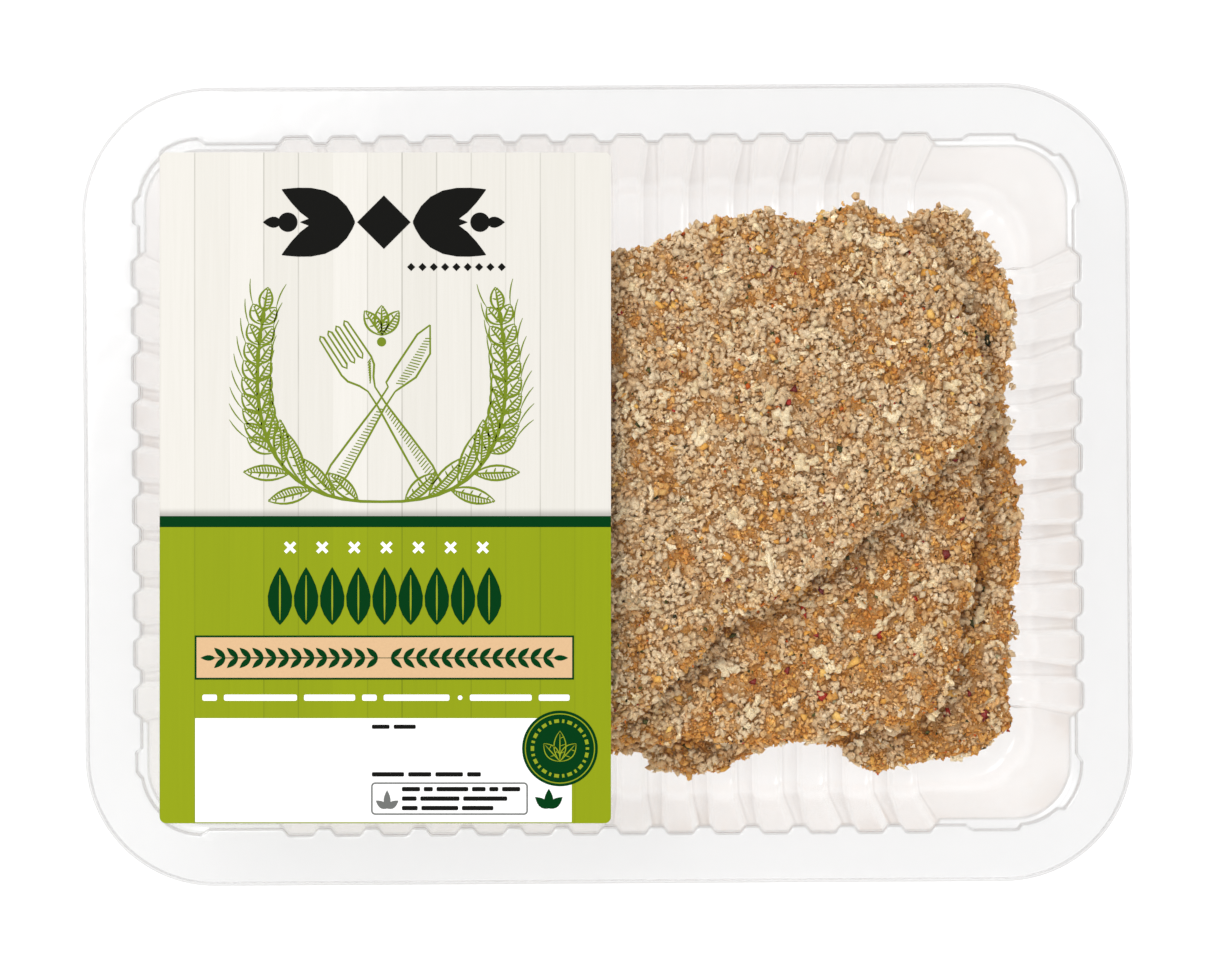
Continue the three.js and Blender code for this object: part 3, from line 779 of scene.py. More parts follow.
CHILLI = (  # x, y, length, width and turn of each large flake
    (47.4, -46.5, 3.9, 2.9, 61), (84.5, -51.1, 3.2, 2.5, 67), (60.3, -32.8, 3.3, 2.1, 100),
    (74.9, -15.2, 3.1, 2.2, 78), (32.1, -43.4, 3.0, 1.7, 35), (36.2, 47.4, 3.9, 0.9, 59),
    (76.4, -50.6, 3.1, 1.3, 109), (70.1, -12.8, 2.6, 1.4, 90), (81.2, -46.6, 2.2, 1.1, 90),
    (14.4, 42.3, 1.8, 1.2, 85), (77.2, 5.4, 2.3, 0.9, 9), (3.2, 37.7, 2.1, 1.0, 23),
    (25.9, -20.8, 2.0, 1.3, 148), (46.1, -33.2, 1.7, 1.4, 104), (68.1, -25.0, 1.9, 0.9, 123),
    (78.9, -7.5, 2.0, 0.8, 32), (77.1, 36.4, 1.9, 0.7, 25), (25.7, -14.9, 1.2, 1.0, 91),
    (13.7, 26.1, 1.8, 0.7, 76), (39.5, 17.8, 2.6, 2.1, 31), (40.8, 20.7, 2.4, 1.8, 118),
    (43.4, -27.9, 4.1, 1.8, 110), (46.8, -23.2, 3.0, 1.4, 113), (39.7, -41.0, 2.5, 1.6, 105),
    (92.0, -24.1, 1.7, 0.8, 123), (31.9, 51.5, 1.0, 0.9, 99), (91.0, -55.4, 1.2, 1.0, 29))
HERBS = (
    (84.7, 32.7, 3.6, 2.4, 84), (81.6, -30.6, 3.0, 1.5, 95), (50.9, 7.6, 2.3, 1.8, 63),
    (75.6, 3.2, 2.1, 1.2, 144), (17.0, -58.1, 2.6, 1.1, 142), (8.2, -52.1, 1.8, 1.5, 92),
    (27.5, -33.2, 2.0, 1.2, 18), (22.4, -35.0, 2.0, 1.0, 67), (70.5, 29.6, 3.3, 0.8, 67),
    (53.2, -16.1, 1.4, 1.1, 7), (45.7, -50.7, 1.6, 0.9, 49), (39.9, -25.7, 2.0, 1.0, 127),
    (7.4, 18.9, 1.6, 0.8, 84))
GOLDEN_FLAKES = (
    (70.8, 46.3, 4.1, 2.4, 179), (15.0, 7.8, 3.1, 2.5, 22), (11.3, 39.3, 3.5, 1.6, 150),
    (13.5, -53.6, 3.4, 1.7, 56), (47.0, -56.1, 3.6, 1.4, 6), (43.2, -51.2, 2.6, 1.7, 137),
    (84.8, -46.6, 3.2, 1.8, 109), (59.1, -61.7, 2.8, 1.6, 109), (76.2, 37.7, 2.6, 1.5, 115),
    (89.7, -3.2, 3.0, 2.1, 13), (26.2, 53.9, 2.3, 1.2, 14), (59.0, 53.3, 2.4, 1.4, 169),
    (70.8, 7.4, 2.3, 1.4, 119), (89.9, -29.3, 3.2, 1.2, 89), (54.5, -39.4, 3.6, 2.4, 42))
PALE_FLAKES = (
    (36.4, 19.6, 7.6, 5.0, 70), (21.8, 24.6, 5.6, 3.8, 100), (42.2, 27.6, 6.4, 3.4, 170),
    (31.2, 27.2, 4.6, 3.2, 30), (43.6, 4.8, 5.0, 4.0, 20), (38.4, 14.8, 4.4, 4.0, 50),
    (20.6, 11.4, 5.2, 3.6, 80), (75.4, 7.8, 4.4, 3.4, 60), (31.4, 13.4, 4.6, 3.4, 40),
    (7.4, -25.4, 8.6, 3.6, 160), (26.4, -40.0, 6.2, 4.2, 20), (32.2, -48.6, 5.0, 3.2, 70),
    (44.8, -26.4, 3.4, 2.8, 10), (60.2, -31.0, 5.0, 2.6, 40), (46.6, -36.2, 4.4, 3.2, 20),
    (61.4, -24.6, 3.8, 2.8, 140), (69.4, -34.4, 5.4, 3.8, 100), (84.2, -28.6, 5.4, 4.6, 70),
    (66.8, 2.4, 4.8, 3.6, 20), (35.6, -16.4, 5.0, 3.0, 110), (79.6, -60.0, 4.4, 3.0, 20),
    (86.0, -48.0, 3.6, 2.8, 60))
DROP_HEIGHT = 60.0  # over everything
PAST_ANY_FLAKE = 20.0


def surface_below(x, y):
    """The highest spot of the stack at a place and its normal, or the tray's floor beside it."""
    above, floor = Vector((x, y, DROP_HEIGHT)) * MM, Vector((x, y, LEAST_HEIGHT)) * MM
    hits = [tree.ray_cast(above, (0, 0, -1)) for tree in core_trees.values()]
    hits = [hit[:2] for hit in hits if hit[0] is not None]
    return max(hits, key=lambda hit: hit[0].z) if hits else (floor, Vector((0, 0, 1)))


def placed_flakes(listed):
    """Places, rotations and sizes for flakes listed by place."""
    spots, turns, sizes = [], [], []
    for x, y, length, width, turn in listed:
        spot, out = surface_below(x, y)
        out = (out + Vector((0, 0, 1.5))).normalized()
        along = Vector((math.cos(math.radians(turn)), math.sin(math.radians(turn)), 0))
        along = (along - out * along.dot(out)).normalized()
        turns.append(np.array([along, out.cross(along), out]).T)
        spots.append(np.array(spot / MM + out * (0.8 + 0.1 * width)))
        sizes.append((length, width, 0.4 + 0.25 * width))
    return np.array(spots), np.array(turns), np.array(sizes)


def strewn_flakes(count, size, spread, slim, flat, lift, most=2.2):
    """Places, rotations and sizes for a number of small flakes all over."""
    spots, outs, _ = strewn(total=count)
    length = np.clip(rng.lognormal(math.log(size), spread, len(spots)), 0.3, most)
    width = length * rng.uniform(slim, 1, len(length))
    sizes = np.stack([length, width, length * flat], axis=1)
    return off_the_floor(spots + outs * lift, length * 0.4), laid(outs, 0.5), sizes


def seasoning(name, listed, strewn_parts, darkest, palest, roughness, gloss=0.3, shapes=None):
    """One kind of seasoning: its listed flakes together with its strewn ones."""
    parts = [placed_flakes(listed)] if listed else []
    parts.append(strewn_parts)
    places, turns, sizes = (np.concatenate([part[i] for part in parts]) for i in range(3))
    material = crumb_material(name + "_skin", darkest, palest, 0.0, (roughness, roughness + 0.1), gloss,
                              LET_THROUGH if shapes else 0.0)
    scattered_piece(name, ((PAST_ANY_FLAKE, shapes or shard_shapes(9, count=10)),), places, turns, sizes,
                    rng.random(len(places)), np.zeros(len(places)), material)


seasoning("chilli_flakes", CHILLI, strewn_flakes(330, 0.72, 0.35, 0.4, 0.35, 0.95),
          (92, 6, 2), (190, 36, 8), 0.3, 0.5)
seasoning("paprika_flakes", (), strewn_flakes(460, 0.95, 0.36, 0.5, 0.4, 0.9),
          (196, 78, 14), (240, 140, 56), 0.5)
seasoning("herb_flakes", HERBS, strewn_flakes(1300, 0.8, 0.36, 0.25, 0.25, 0.95),
          (38, 40, 8), (104, 104, 50), 0.6)
seasoning("cracked_pepper", (), strewn_flakes(900, 0.5, 0.34, 0.6, 0.6, 0.95),
          (38, 24, 10), (96, 66, 36), 0.6)
seasoning("golden_flakes", GOLDEN_FLAKES, strewn_flakes(620, 1.5, 0.4, 0.6, 0.5, 0.8, 3.6),
          (230, 160, 62), (255, 214, 124), 0.5)
seasoning("onion_flakes", (), strewn_flakes(120, 1.4, 0.2, 0.6, 0.3, 0.9),
          (150, 144, 108), (206, 198, 164), 0.45)
seasoning("pale_flakes", PALE_FLAKES, strewn_flakes(1300, 2.2, 0.36, 0.6, 0.5, 0.85, 4.4),
          (228, 206, 164), (246, 230, 196), 0.6, 0.1, torn_shapes(lumps=7, flat=0.5))


# ---------------------------------------------------------------------------------------------
# The film. A thin clear lidding film is drawn tight over the open tray and welded flat to the
# flange all round. It is all but invisible, and shows only where it mirrors a lamp.

FILM_LOW, FILM_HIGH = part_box("film")
FILM_CORNER = FLANGE_CORNER - 0.8


def rounded_plate(low, high, corner, segments=14):
    """A flat plate with round corners that fills a box of two corners, in metres."""
    bm = bmesh.new()
    bmesh.ops.create_grid(bm, x_segments=1, y_segments=1, size=0.5)
    size, middle = high - low, (high + low) / 2
    bmesh.ops.scale(bm, vec=(size.x, size.y, 1), verts=bm.verts)
    bmesh.ops.bevel(bm, geom=bm.verts[:], offset=corner * MM, offset_type="OFFSET", segments=segments,
                    affect="VERTICES", profile=0.5, material=-1)
    grown = bmesh.ops.extrude_face_region(bm, geom=bm.faces[:])["geom"]
    bmesh.ops.translate(bm, vec=(0, 0, size.z), verts=[v for v in grown if isinstance(v, bmesh.types.BMVert)])
    bmesh.ops.translate(bm, vec=(middle.x, middle.y, low.z), verts=bm.verts)
    bmesh.ops.recalc_face_normals(bm, faces=bm.faces)
    return bm


def film_material():
    made, tree, shader = blank_material("lidding_film")
    tree.nodes.remove(shader)
    pull = clouded(tree, object_place(tree, (1, 0.25, 1)), 0.05, 3.0)
    bump = node(tree, "Bump", {"Height": pull, "Strength": 0.25, "Distance": 0.4 * MM}).outputs["Normal"]
    mirror = node(tree, "BsdfGlossy", {"Color": (1, 1, 1, 1), "Roughness": 0.06, "Normal": bump})
    through = node(tree, "BsdfTransparent", {"Color": (0.995, 0.995, 0.995, 1)})
    flat = node(tree, "LayerWeight", {"Blend": 0.5, "Normal": bump}).outputs["Facing"]
    share = worked(tree, "MULTIPLY_ADD", worked(tree, "POWER", flat, 5.0), 0.5, 0.006)
    layers = {0: share, 1: through.outputs["BSDF"], 2: mirror.outputs["BSDF"]}
    surface = node(tree, "MixShader", layers).outputs["Shader"]
    tree.links.new(surface, tree.nodes["Material Output"].inputs["Surface"])
    return made


film = piece_from(rounded_plate(FILM_LOW, FILM_HIGH, FILM_CORNER), "lid_film", film_material(), False)
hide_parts("film")


# ---------------------------------------------------------------------------------------------
# The label. Coated paper with a printed front, stuck on the film over one half of the pack: boards
# painted white above, a dark green line, and the same boards in lime green below.

LABEL_LOW, LABEL_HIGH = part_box("label")
LABEL_MIDDLE = (LABEL_LOW + LABEL_HIGH) / 2
LABEL_CORNER = 1.4
LABEL_TURN = math.radians(-0.35)
BOARD_PITCH, FIRST_BOARD = 7.48, -41.25
LINE_TOP, LINE_BOTTOM = -6.1, -8.5  # the dark green line


def label_place(tree):
    """The label's own coordinates, in millimetres from its middle."""
    place = node(tree, "TexCoord").outputs["Object"]
    centred = node(tree, "Mapping", {"Vector": place, "Location": -LABEL_MIDDLE}).outputs["Vector"]
    return node(tree, "Mapping", {"Vector": centred, "Rotation": (0, 0, -LABEL_TURN),
                                  "Scale": (1 / MM,) * 3}).outputs["Vector"]


def board_material(name, light, dark, gap, gap_share, shadow):
    """Painted boards: each its own tone, with grain along it and a dark gap between one and the next."""
    made, tree, shader = blank_material(name)
    place = label_place(tree)
    axes = node(tree, "SeparateXYZ", {"Vector": place}).outputs
    boards = worked(tree, "DIVIDE", worked(tree, "ADD", axes["X"], -FIRST_BOARD), BOARD_PITCH)
    nearest = worked(tree, "FLOOR", worked(tree, "ADD", boards, 0.5))
    board = worked(tree, "FLOOR", boards)
    tone = node(tree, "TexWhiteNoise", {"W": board}, noise_dimensions="1D").outputs["Value"]
    grain_place = node(tree, "Mapping", {"Vector": place, "Scale": (1.3, 0.03, 1)}).outputs["Vector"]
    grain = clouded(tree, grain_place, 1.0, 5.0, 0.7)
    grained = worked(tree, "MULTIPLY_ADD", grain, 0.9, -0.2)
    paint = mixed(tree, worked(tree, "MULTIPLY_ADD", tone, 0.5, grained, clamp=True), light, dark)
    away = worked(tree, "ABSOLUTE", worked(tree, "SUBTRACT", boards, nearest))
    line = ranged(tree, away, 0.008, 0.026, 1.0, 0.0)
    strength = node(tree, "TexWhiteNoise", {"W": nearest}, noise_dimensions="1D").outputs["Value"]
    wear_place = node(tree, "Mapping", {"Vector": place, "Scale": (0.3, 0.06, 1)}).outputs["Vector"]
    wear = clouded(tree, wear_place, 1.0, 3.0)
    worn = worked(tree, "MULTIPLY", worked(tree, "MULTIPLY", strength, wear), gap_share * 2.2)
    colour = mixed(tree, worked(tree, "MULTIPLY", line, worn, clamp=True), paint, gap)
    if shadow:
        fall = ranged(tree, axes["Y"], LINE_TOP, LINE_TOP + 2.0, shadow, 0.0, how="SMOOTHSTEP")
        colour = mixed(tree, fall, colour, srgb(120, 118, 112))
    tree.links.new(colour, shader.inputs["Base Color"])
    tree.links.new(ranged(tree, grain, 0, 1, 0.38, 0.5), shader.inputs["Roughness"])
    shader.inputs["Specular IOR Level"].default_value = 0.1
    return made


def ink_material(name, colour, variation=0.06, gloss=0.1):
    """One printed ink, very slightly mottled by the paper under it."""
    made, tree, shader = blank_material(name)
    tooth = clouded(tree, label_place(tree), 2.2, 3.0)
    deeper = tuple(c * (1 - 2 * variation) for c in colour[:3]) + (1,)
    tree.links.new(mixed(tree, tooth, colour, deeper), shader.inputs["Base Color"])
    tree.links.new(ranged(tree, tooth, 0, 1, 0.36, 0.48), shader.inputs["Roughness"])
    shader.inputs["Specular IOR Level"].default_value = gloss
    return made


def label_mesh():
    """The paper, cut across at the printed fields so that each field is its own faces."""
    low, high = LABEL_LOW - LABEL_MIDDLE, LABEL_HIGH - LABEL_MIDDLE
    bm = rounded_plate(low, high, LABEL_CORNER, segments=6)
    for y in (LINE_TOP, LINE_BOTTOM):
        bmesh.ops.bisect_plane(bm, geom=bm.verts[:] + bm.edges[:] + bm.faces[:], plane_co=(0, y * MM, 0),
                               plane_no=(0, 1, 0))
    for face in bm.faces:
        y = face.calc_center_median().y / MM
        face.material_index = 0 if y > LINE_TOP else 1 if y > LINE_BOTTOM else 2
    place = Matrix.Translation(LABEL_MIDDLE) @ Matrix.Rotation(LABEL_TURN, 4, "Z")
    bmesh.ops.transform(bm, verts=bm.verts, matrix=place)
    return bm


white_boards = board_material("white_boards", srgb(232, 229, 223), srgb(219, 216, 208),
                              gap=srgb(174, 172, 163), gap_share=0.7, shadow=0.55)
lime_boards = board_material("lime_boards", srgb(146, 161, 8), srgb(138, 153, 8),
                             gap=srgb(110, 125, 8), gap_share=0.6, shadow=0)
dark_ink = ink_material("dark_green_ink", srgb(2, 60, 22), gloss=0.02)
label = piece_from(label_mesh(), "label_paper", [white_boards, dark_ink, lime_boards], False)
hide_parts("label")


# ---------------------------------------------------------------------------------------------
# The printing. Each ink is a film a hundredth of a millimetre thick, laid a hair over the paper and
# the inks before it: a fork and knife in a wreath of wheat, an ornament above, a frieze of leaves
# on the lime, a bordered strip, a plain panel and a seal.

INK_THICK = 0.012
INK_STEP = 0.03  # from one ink to the next
INK_HEIGHTS = itertools.cycle([0.0015 * i for i in range(14)])  # so that overlapping shapes don't coincide
OLIVE_LINE = 0.5  # the engraving's usual line
ORNAMENT = (-0.3, 57.5)
FRIEZE_START, FRIEZE_PITCH, FRIEZE_LEAVES = -22.8, 5.66, 9
STRIP, STRIP_WIDTH = (-0.2, -36.8), 82.1
SEAL, SEAL_RADIUS, SEAL_RING, SEAL_MARKS = (37.8, -56.4), 8.2, 7.5, 5.95
PANEL_CORNER = 0.72


def lift(verts):
    """Sets a new shape at another height than the one drawn before it."""
    height = next(INK_HEIGHTS)
    for vert in verts:
        vert.co.z = height


def turned_to(x, y, turn=0.0):
    return Matrix.Translation((x, y, 0)) @ Matrix.Rotation(math.radians(turn), 4, "Z")


def bar(bm, x, y, width, height, corner=0.0, turn=0.0):
    """A rectangle of ink, its corners rounded if wanted."""
    verts = bmesh.ops.create_grid(bm, x_segments=1, y_segments=1, size=0.5)["verts"]
    bmesh.ops.scale(bm, vec=(width, height, 1), verts=verts)
    bmesh.ops.transform(bm, verts=verts, matrix=turned_to(x, y, turn))
    lift(verts)
    if corner:
        bmesh.ops.bevel(bm, geom=verts, offset=corner, offset_type="OFFSET", segments=5, affect="VERTICES",
                        profile=0.5, material=-1)


def disc(bm, x, y, radius, segments=40):
    drawn = bmesh.ops.create_circle(bm, cap_ends=True, radius=radius, segments=segments,
                                    matrix=turned_to(x, y))
    lift(drawn["verts"])


def leaf(bm, x, y, length, width, turn):
    """A pointed leaf that starts at a place and runs the way it is turned."""
    verts = bmesh.ops.create_circle(bm, cap_ends=True, radius=1, segments=18)["verts"]
    for vert in verts:
        s, side = vert.co.x, math.copysign(1, vert.co.y) if abs(vert.co.y) > 1e-4 else 0
        vert.co = Vector(((s + 1) / 2 * length, side * (1 - s * s) * (1 - 0.25 * s) * width / 2, 0))
    bmesh.ops.transform(bm, verts=verts, matrix=turned_to(x, y, turn))
    lift(verts)


def stroke(bm, path, width, taper=0.6):
    """A line of ink along a path of points, thinner towards its ends."""
    last = len(path) - 1
    verts = bmesh.ops.create_grid(bm, x_segments=last, y_segments=1, size=0.5)["verts"]
    for vert in verts:
        i = round((vert.co.x + 0.5) * last)
        ahead = path[min(i + 1, last)] - path[max(i - 1, 0)]
        across = Vector((-ahead.y, ahead.x, 0)).normalized() * math.copysign(width / 2, vert.co.y)
        vert.co = path[i] + across * (1 - taper * (2 * i / last - 1) ** 2)
    lift(verts)


def bow(start, end, sag, steps=8):
    """Points from one place to another along a curve that stands off by sag in the middle."""
    start, end = Vector((*start, 0)), Vector((*end, 0))
    aside = Vector((start.y - end.y, end.x - start.x, 0)).normalized() * sag
    return [start.lerp(end, i / steps) + aside * (1 - (2 * i / steps - 1) ** 2) for i in range(steps + 1)]


def drawn_leaf(bm, x, y, length, width, turn, line=OLIVE_LINE, hatch=0.62):
    """An engraved leaf: its outline, a midrib, close hatching on its shaded side and some on the other."""
    place = turned_to(x, y, turn)
    root, tip = (0, 0), (length, 0)
    lines = [bow(root, tip, width / 2), bow(root, tip, -width / 2), bow(root, (length * 0.9, 0), 0, 3)]
    count = max(2, int(length / hatch))
    for i in range(1, count):
        s = i / count
        reach = width / 2 * (1 - (2 * s - 1) ** 2)
        lines.append(bow((length * s, 0), (length * s + 0.45, -reach * 0.95), 0, 2))
        if i % 3 == 1:
            lines.append(bow((length * s, 0), (length * s + 0.45, reach * 0.7), 0, 2))
    for i, each in enumerate(lines):
        stroke(bm, [place @ point for point in each], line * (1.0 if i < 3 else 0.75))


def sprig(bm, side):
    """Half of the wreath: a stem that rises and curves outwards, with blades below and an ear above."""
    def at(t):
        a, b, c = Vector((0, -3.0, 0)), Vector((side * 33, -4, 0)), Vector((side * 25.5, 38, 0))
        return a * (1 - t) ** 2 + b * 2 * t * (1 - t) + c * t * t

    def heading(t):
        ahead = at(t + 0.01) - at(t - 0.01)
        return math.degrees(math.atan2(ahead.y, ahead.x))

    stroke(bm, [at(i / 14) for i in range(15)], 0.8, 0.3)
    blades = ((0.08, 9, 38), (0.17, 12, 34), (0.27, 10, -40), (0.31, 13, 38), (0.40, 10, -42), (0.45, 10, 36))
    for t, length, lean in blades:
        place = at(t)
        drawn_leaf(bm, place.x, place.y, length, 3.2, heading(t) + side * lean)
    for i in range(9):
        t = 0.52 + i * 0.056
        place = at(t)
        length = 6.6 - 0.22 * i
        for lean in (-32, 32):
            turn = heading(t) + lean
            drawn_leaf(bm, place.x, place.y, length, 3.1, turn, hatch=0.7)
            tip = place + Vector((math.cos(math.radians(turn)), math.sin(math.radians(turn)), 0)) * length
            awn = math.radians(heading(t) + lean * 0.45)
            stroke(bm, bow(tip.xy, (tip.x + 5.5 * math.cos(awn), tip.y + 5.5 * math.sin(awn)), 0.3, 4), 0.3)
    crown = at(1.0)
    drawn_leaf(bm, crown.x, crown.y, 5.5, 2.8, heading(0.99))


def cutlery(bm, turn, kind):
    """A fork or a knife in outline, with hatching along one side of its handle."""
    place = turned_to(0, 18.0, turn)

    def line(points, width=0.46):
        stroke(bm, [place @ Vector((x, y, 0)) for x, y in points], width, 0.25)

    for side in (-1, 1):
        line([(0, -21.5), (side * 1.6, -21), (side * 2.1, -17), (side * 1.5, -8), (side * 0.9, 0),
              (side * 0.9, 4)])
    for i in range(27):
        y = -20.4 + i * 0.74
        line([(-0.2, y), (1.8 - 0.035 * i, y + 0.5)], 0.32)
    if kind == "fork":
        for side in (-1, 1):
            line([(side * 0.9, 4), (side * 1.8, 6), (side * 3.4, 8.2), (side * 3.8, 10), (side * 3.6, 19)])
            line([(side * 3.6, 19), (side * 3.1, 19.6), (side * 2.6, 19), (side * 2.6, 11.5)])
            line([(side * 2.6, 11.5), (side * 2.0, 10.7), (side * 1.5, 11.5), (side * 1.5, 19)])
            line([(side * 1.5, 19), (side * 1.0, 19.6), (side * 0.5, 19), (side * 0.5, 11.5)])
        line([(-0.5, 11.5), (0, 10.8), (0.5, 11.5)])
        for i in range(9):
            line([(0.4 + 0.25 * i, 5.2 + 0.5 * i), (1.3 + 0.27 * i, 6.3 + 0.42 * i)], 0.32)
    else:
        line([(-0.9, 4), (-1.8, 4.6), (-1.9, 8), (-1.8, 17), (-0.6, 20.2)])
        line([(0.9, 4), (1.3, 5), (3.0, 9), (2.8, 15), (-0.6, 20.2)])
        for i in range(18):
            y = 5.6 + 0.68 * i
            line([(0.1, y), (2.3 - abs(i - 7) * 0.11, y + 0.7)], 0.32)


def draw_olive(bm):
    for side in (-1, 1):
        sprig(bm, side)
    cutlery(bm, 33, "fork")
    cutlery(bm, -33, "knife")
    for turn in (55, 90, 125):
        drawn_leaf(bm, 0, 33.0, 6.5, 3.0, turn)
    disc(bm, 0, 31.6, 1.0)
    bmesh.ops.translate(bm, vec=(-0.8, 0, 0), verts=bm.verts)


def dashes(bm, left, right, y, height, lengths, gap):
    """A row of short bars between two places, their lengths in the given proportion."""
    unit = (right - left - gap * (len(lengths) - 1)) / sum(lengths)
    for length in lengths:
        bar(bm, left + unit * length / 2, y, unit * length, height, height * 0.3)
        left += unit * length + gap


def draw_black(bm):
    x, y = ORNAMENT
    bar(bm, x, y, 8.2, 8.2, turn=45)
    for side in (-1, 1):
        for lean, length, width in ((24, 17.5, 7.2), (-24, 17.5, 7.2), (0, 12.0, 3.4)):
            leaf(bm, x + side * 6.2, y, length, width, lean if side > 0 else 180 - lean)
        disc(bm, x + side * 20.8, y, 2.1)
        leaf(bm, x + side * 22.0, y, 4.2, 2.4, 0 if side > 0 else 180)
    for i in range(9):
        bar(bm, 5.6 + i * 2.45, 47.8, 1.25, 1.25, turn=45)
    dashes(bm, -2.9, 6.6, -51.7, 0.9, (4, 5), 0.9)
    dashes(bm, -2.9, 20.7, -62.0, 0.95, (7, 5, 6, 3), 0.9)
    for row, lengths in enumerate(((4, 2, 7, 3, 2, 4), (3, 8, 9), (3, 7, 6))):
        dashes(bm, 3.6, (29.2, 26.4, 23.4)[row], -65.2 - 2.05 * row, 0.95, lengths, 0.8)


def draw_grey(bm):
    for y in (-63.9, -70.6):
        bar(bm, 13.9, y, 32.2, 0.34)
    for x in (-2.9, 30.7):
        bar(bm, x, -67.25, 0.34, 5.4)
    for x, y, turn in ((-2.9, -63.9, 180), (30.7, -63.9, 90), (30.7, -70.6, 0), (-2.9, -70.6, 270)):
        inwards = (PANEL_CORNER if x < 0 else -PANEL_CORNER), (PANEL_CORNER if y < -67 else -PANEL_CORNER)
        place = turned_to(x + inwards[0], y + inwards[1], turn)
        angles = [math.radians(degrees) for degrees in range(0, 91, 15)]
        quarter = [Vector((PANEL_CORNER * math.cos(a), -PANEL_CORNER * math.sin(a), 0)) for a in angles]
        stroke(bm, [place @ point for point in quarter], 0.34, 0)
    for turn in (90, 145, 35):
        leaf(bm, 0.4, -69.4, 4.0 if turn == 90 else 3.0, 1.5, turn)


def draw_white(bm):
    bar(bm, -0.4, -61.1, 81.5, 22.5)
    for i in range(7):
        for turn in (45, 135):
            bar(bm, -20.6 + i * 6.95, -12.9, 3.0, 0.75, turn=turn)
    dashes(bm, -39.6, 13.9, -45.4, 1.35, (2, 10, 7, 2, 9), 1.5)
    disc(bm, 16.2, -45.4, 0.5)
    dashes(bm, 18.3, 39.9, -45.4, 1.35, (8, 4), 1.5)


def draw_peach(bm):
    bar(bm, *STRIP, STRIP_WIDTH, 9.4)


def draw_dark(bm):
    middle, level = STRIP
    for i in range(FRIEZE_LEAVES):
        leaf(bm, FRIEZE_START + i * FRIEZE_PITCH, -29.7, 12.6, 5.3, 90)
    for y in (-32.15, -41.3):
        bar(bm, middle, y, STRIP_WIDTH, 0.4)
    for x in (-41.05, 40.65):
        bar(bm, x, -36.7, 0.4, 9.5)
    for side in (-1, 1):
        stroke(bm, bow(STRIP, (middle + side * 37.2, level), 0, 4), 0.34)
        for i in range(13):
            for lean in (-42, 42):
                x = middle + side * (1.4 + 2.75 * i)
                leaf(bm, x, level, 3.3, 1.25, lean if side > 0 else 180 - lean)
        leaf(bm, middle + side * 36.6, level, 3.2, 1.2, 0 if side > 0 else 180)
    disc(bm, *SEAL, SEAL_RADIUS, 64)
    for turn in (40, 90, 140):
        leaf(bm, 35.4, -69.4, 4.3 if turn == 90 else 3.9, 1.9, turn)


def draw_lime(bm):
    middle = Vector((*SEAL, 0))
    angles = [math.tau * i / 48 for i in range(49)]
    ring = [Vector((SEAL_RING * math.cos(a), SEAL_RING * math.sin(a), 0)) for a in angles]
    stroke(bm, [middle + point for point in ring], 0.24, 0)
    for i in range(26):
        angle = math.tau * i / 26
        x, y = middle.x + SEAL_MARKS * math.cos(angle), middle.y + SEAL_MARKS * math.sin(angle)
        bar(bm, x, y, 1.05 if i % 2 else 0.5, 0.75, turn=90 + math.degrees(angle))
    for turn, length in ((90, 6.6), (48, 5.2), (132, 5.2)):
        drawn_leaf(bm, middle.x, middle.y - 2.8, length, 2.6, turn, line=0.24, hatch=1.4)
    for i in range(FRIEZE_LEAVES):
        x = FRIEZE_START + i * FRIEZE_PITCH
        stroke(bm, bow((x, -28.6), (x, -18.9), 0, 3), 0.4)


def ink_piece(name, material, layer, draw):
    """Prints one ink: its shapes drawn flat in millimetres, thickened, and laid on the paper."""
    bm = bmesh.new()
    draw(bm)
    for face in bm.faces:
        if face.normal.z < 0:
            face.normal_flip()
    grown = bmesh.ops.extrude_face_region(bm, geom=bm.faces[:], use_keep_orig=True)["geom"]
    under = [item for item in grown if isinstance(item, bmesh.types.BMVert)]
    bmesh.ops.translate(bm, vec=(0, 0, -INK_THICK), verts=under)
    bmesh.ops.recalc_face_normals(bm, faces=bm.faces)
    bmesh.ops.scale(bm, vec=(MM, MM, MM), verts=bm.verts)
    at = Vector((LABEL_MIDDLE.x, LABEL_MIDDLE.y, LABEL_HIGH.z + (INK_THICK + INK_STEP * layer) * MM))
    place = Matrix.Translation(at) @ Matrix.Rotation(LABEL_TURN, 4, "Z")
    bmesh.ops.transform(bm, verts=bm.verts, matrix=place)
    printed = piece_from(bm, name, material, False)


ink_piece("ink_peach", ink_material("peach_ink", srgb(226, 188, 144)), 0.2, draw_peach)
ink_piece("ink_white", ink_material("white_ink", srgb(255, 255, 255), 0.0, 0.3), 0.2, draw_white)
ink_piece("ink_olive", ink_material("olive_ink", srgb(118, 138, 26)), 0.2, draw_olive)
ink_piece("ink_black", ink_material("black_ink", srgb(20, 20, 18), gloss=0.03), 1.0, draw_black)
ink_piece("ink_grey", ink_material("grey_ink", srgb(114, 116, 114)), 1.0, draw_grey)
ink_piece("ink_dark_green", dark_ink, 1.0, draw_dark)
ink_piece("ink_lime", ink_material("lime_ink", srgb(148, 163, 28)), 2.0, draw_lime)


# ---------------------------------------------------------------------------------------------
# The stage: a white table, one large soft lamp up to the left, a weak one opposite, and an even
# pale room. The camera hangs over the pack, a little towards its near side.

TABLE_GREYS, TABLE_GLOW = ((0.24, 0.24, 0.24, 1), (0.26, 0.26, 0.26, 1)), 0.85
LAMPS = {  # place, size and watts
    "window_lamp": ((-0.5, 0.42, 1.25), 0.7, 8.7),
    "fill_lamp": ((0.1, -0.75, 1.25), 0.9, 5.2),
}
ROOM_COLOUR, ROOM_STRENGTH = (1.0, 0.995, 0.985, 1), 0.59


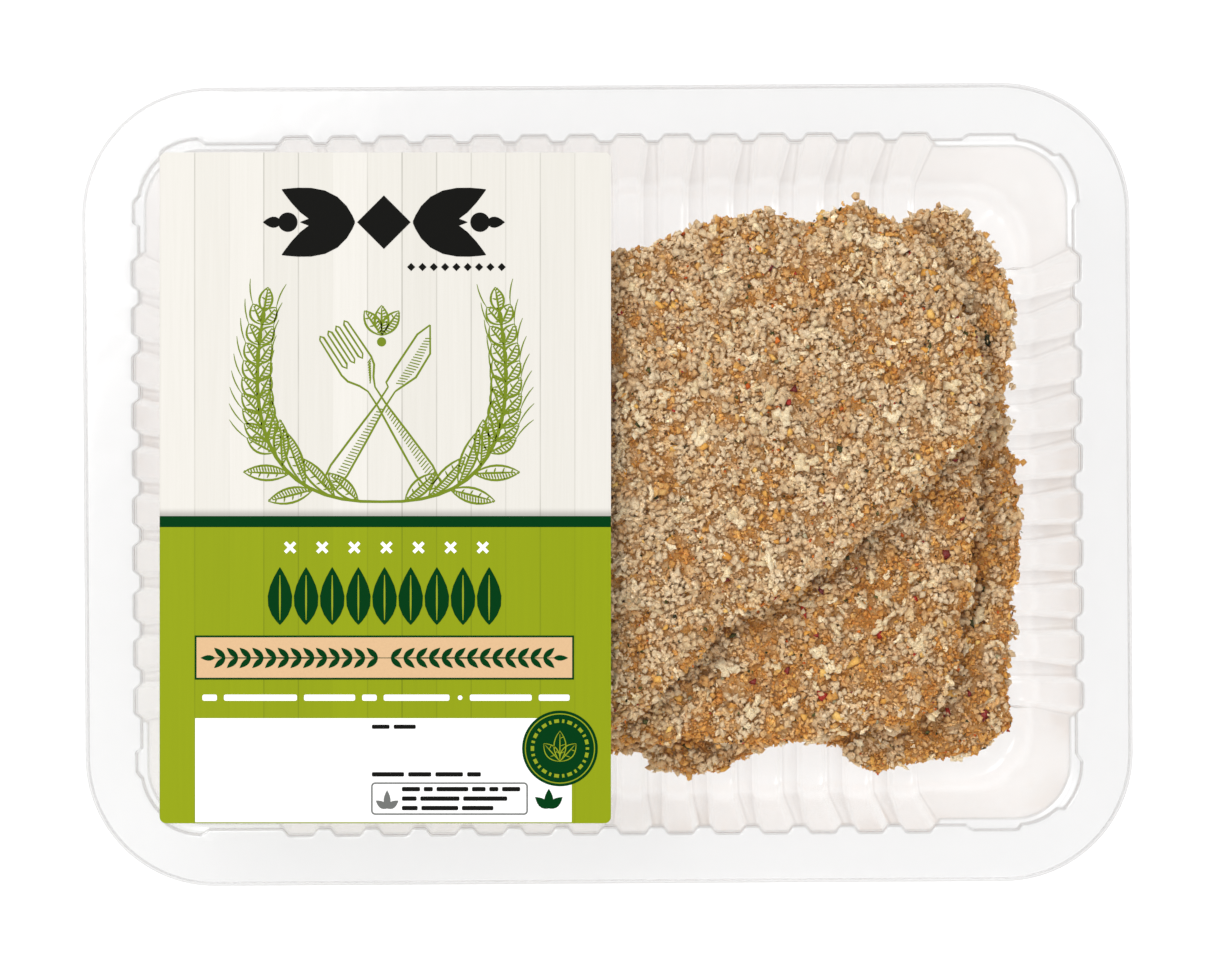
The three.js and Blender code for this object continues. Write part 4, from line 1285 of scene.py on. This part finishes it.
def area_lamp(name, place, size, watts):
    """A round lamp that faces the middle of the pack."""
    data = bpy.data.lights.new(name, "AREA")
    data.shape = "DISK"
    data.size = size
    data.energy = watts
    lamp = bpy.data.objects.new(name, data)
    lamp.location = place
    lamp.rotation_euler = (-Vector(place)).to_track_quat("-Z", "Y").to_euler()
    bpy.context.scene.collection.objects.link(lamp)


def table_top():
    bm = bmesh.new()
    bmesh.ops.create_grid(bm, x_segments=8, y_segments=8, size=3.0)
    bmesh.ops.translate(bm, vec=(0, 0, -0.02 * MM), verts=bm.verts)
    mesh = bpy.data.meshes.new("table_top")
    bm.to_mesh(mesh)
    bm.free()
    made, tree, shader = blank_material("white_table")
    place = node(tree, "TexCoord").outputs["Object"]
    paint = mixed(tree, clouded(tree, place, 3.0, 2.0), *TABLE_GREYS)
    tree.links.new(paint, shader.inputs["Base Color"])
    shader.inputs["Roughness"].default_value = 0.9
    shader.inputs["Emission Color"].default_value = (1, 1, 1, 1)
    shader.inputs["Emission Strength"].default_value = TABLE_GLOW
    mesh.materials.append(made)
    table = bpy.data.objects.new("table_top", mesh)
    bpy.context.scene.collection.objects.link(table)


table_top()
for name, (place, size, watts) in LAMPS.items():
    area_lamp(name, place, size, watts)

world = bpy.data.worlds.new("pale_room")
bpy.context.scene.world = world
world.use_nodes = True
world.node_tree.nodes["Background"].inputs["Color"].default_value = ROOM_COLOUR
world.node_tree.nodes["Background"].inputs["Strength"].default_value = ROOM_STRENGTH

LENS_OVER_RIM = 817.0
CAMERA_PLACE = Vector((-0.26, -25.0, TRAY_HEIGHT + LENS_OVER_RIM)) * MM
CAMERA_ROLL = math.radians(-0.35)
FRAME_WIDTH_SEEN = 262.95 * MM  # how much of the rim's plane the picture spans
FRAME_RISE = 25.5 * MM  # how far the picture's middle lies beyond the spot under the lens
SENSOR_WIDTH = 36.0
camera_data = bpy.data.cameras.new("overhead_camera")
camera_data.sensor_width = SENSOR_WIDTH
camera_data.lens = SENSOR_WIDTH * LENS_OVER_RIM * MM / FRAME_WIDTH_SEEN
camera_data.shift_y = FRAME_RISE / FRAME_WIDTH_SEEN
camera = bpy.data.objects.new("overhead_camera", camera_data)
camera.location = CAMERA_PLACE
camera.rotation_euler = (0, 0, CAMERA_ROLL)
bpy.context.scene.collection.objects.link(camera)
bpy.context.scene.camera = camera
bpy.context.scene.view_settings.view_transform = "Standard"
bpy.context.scene.cycles.transparent_max_bounces = 16
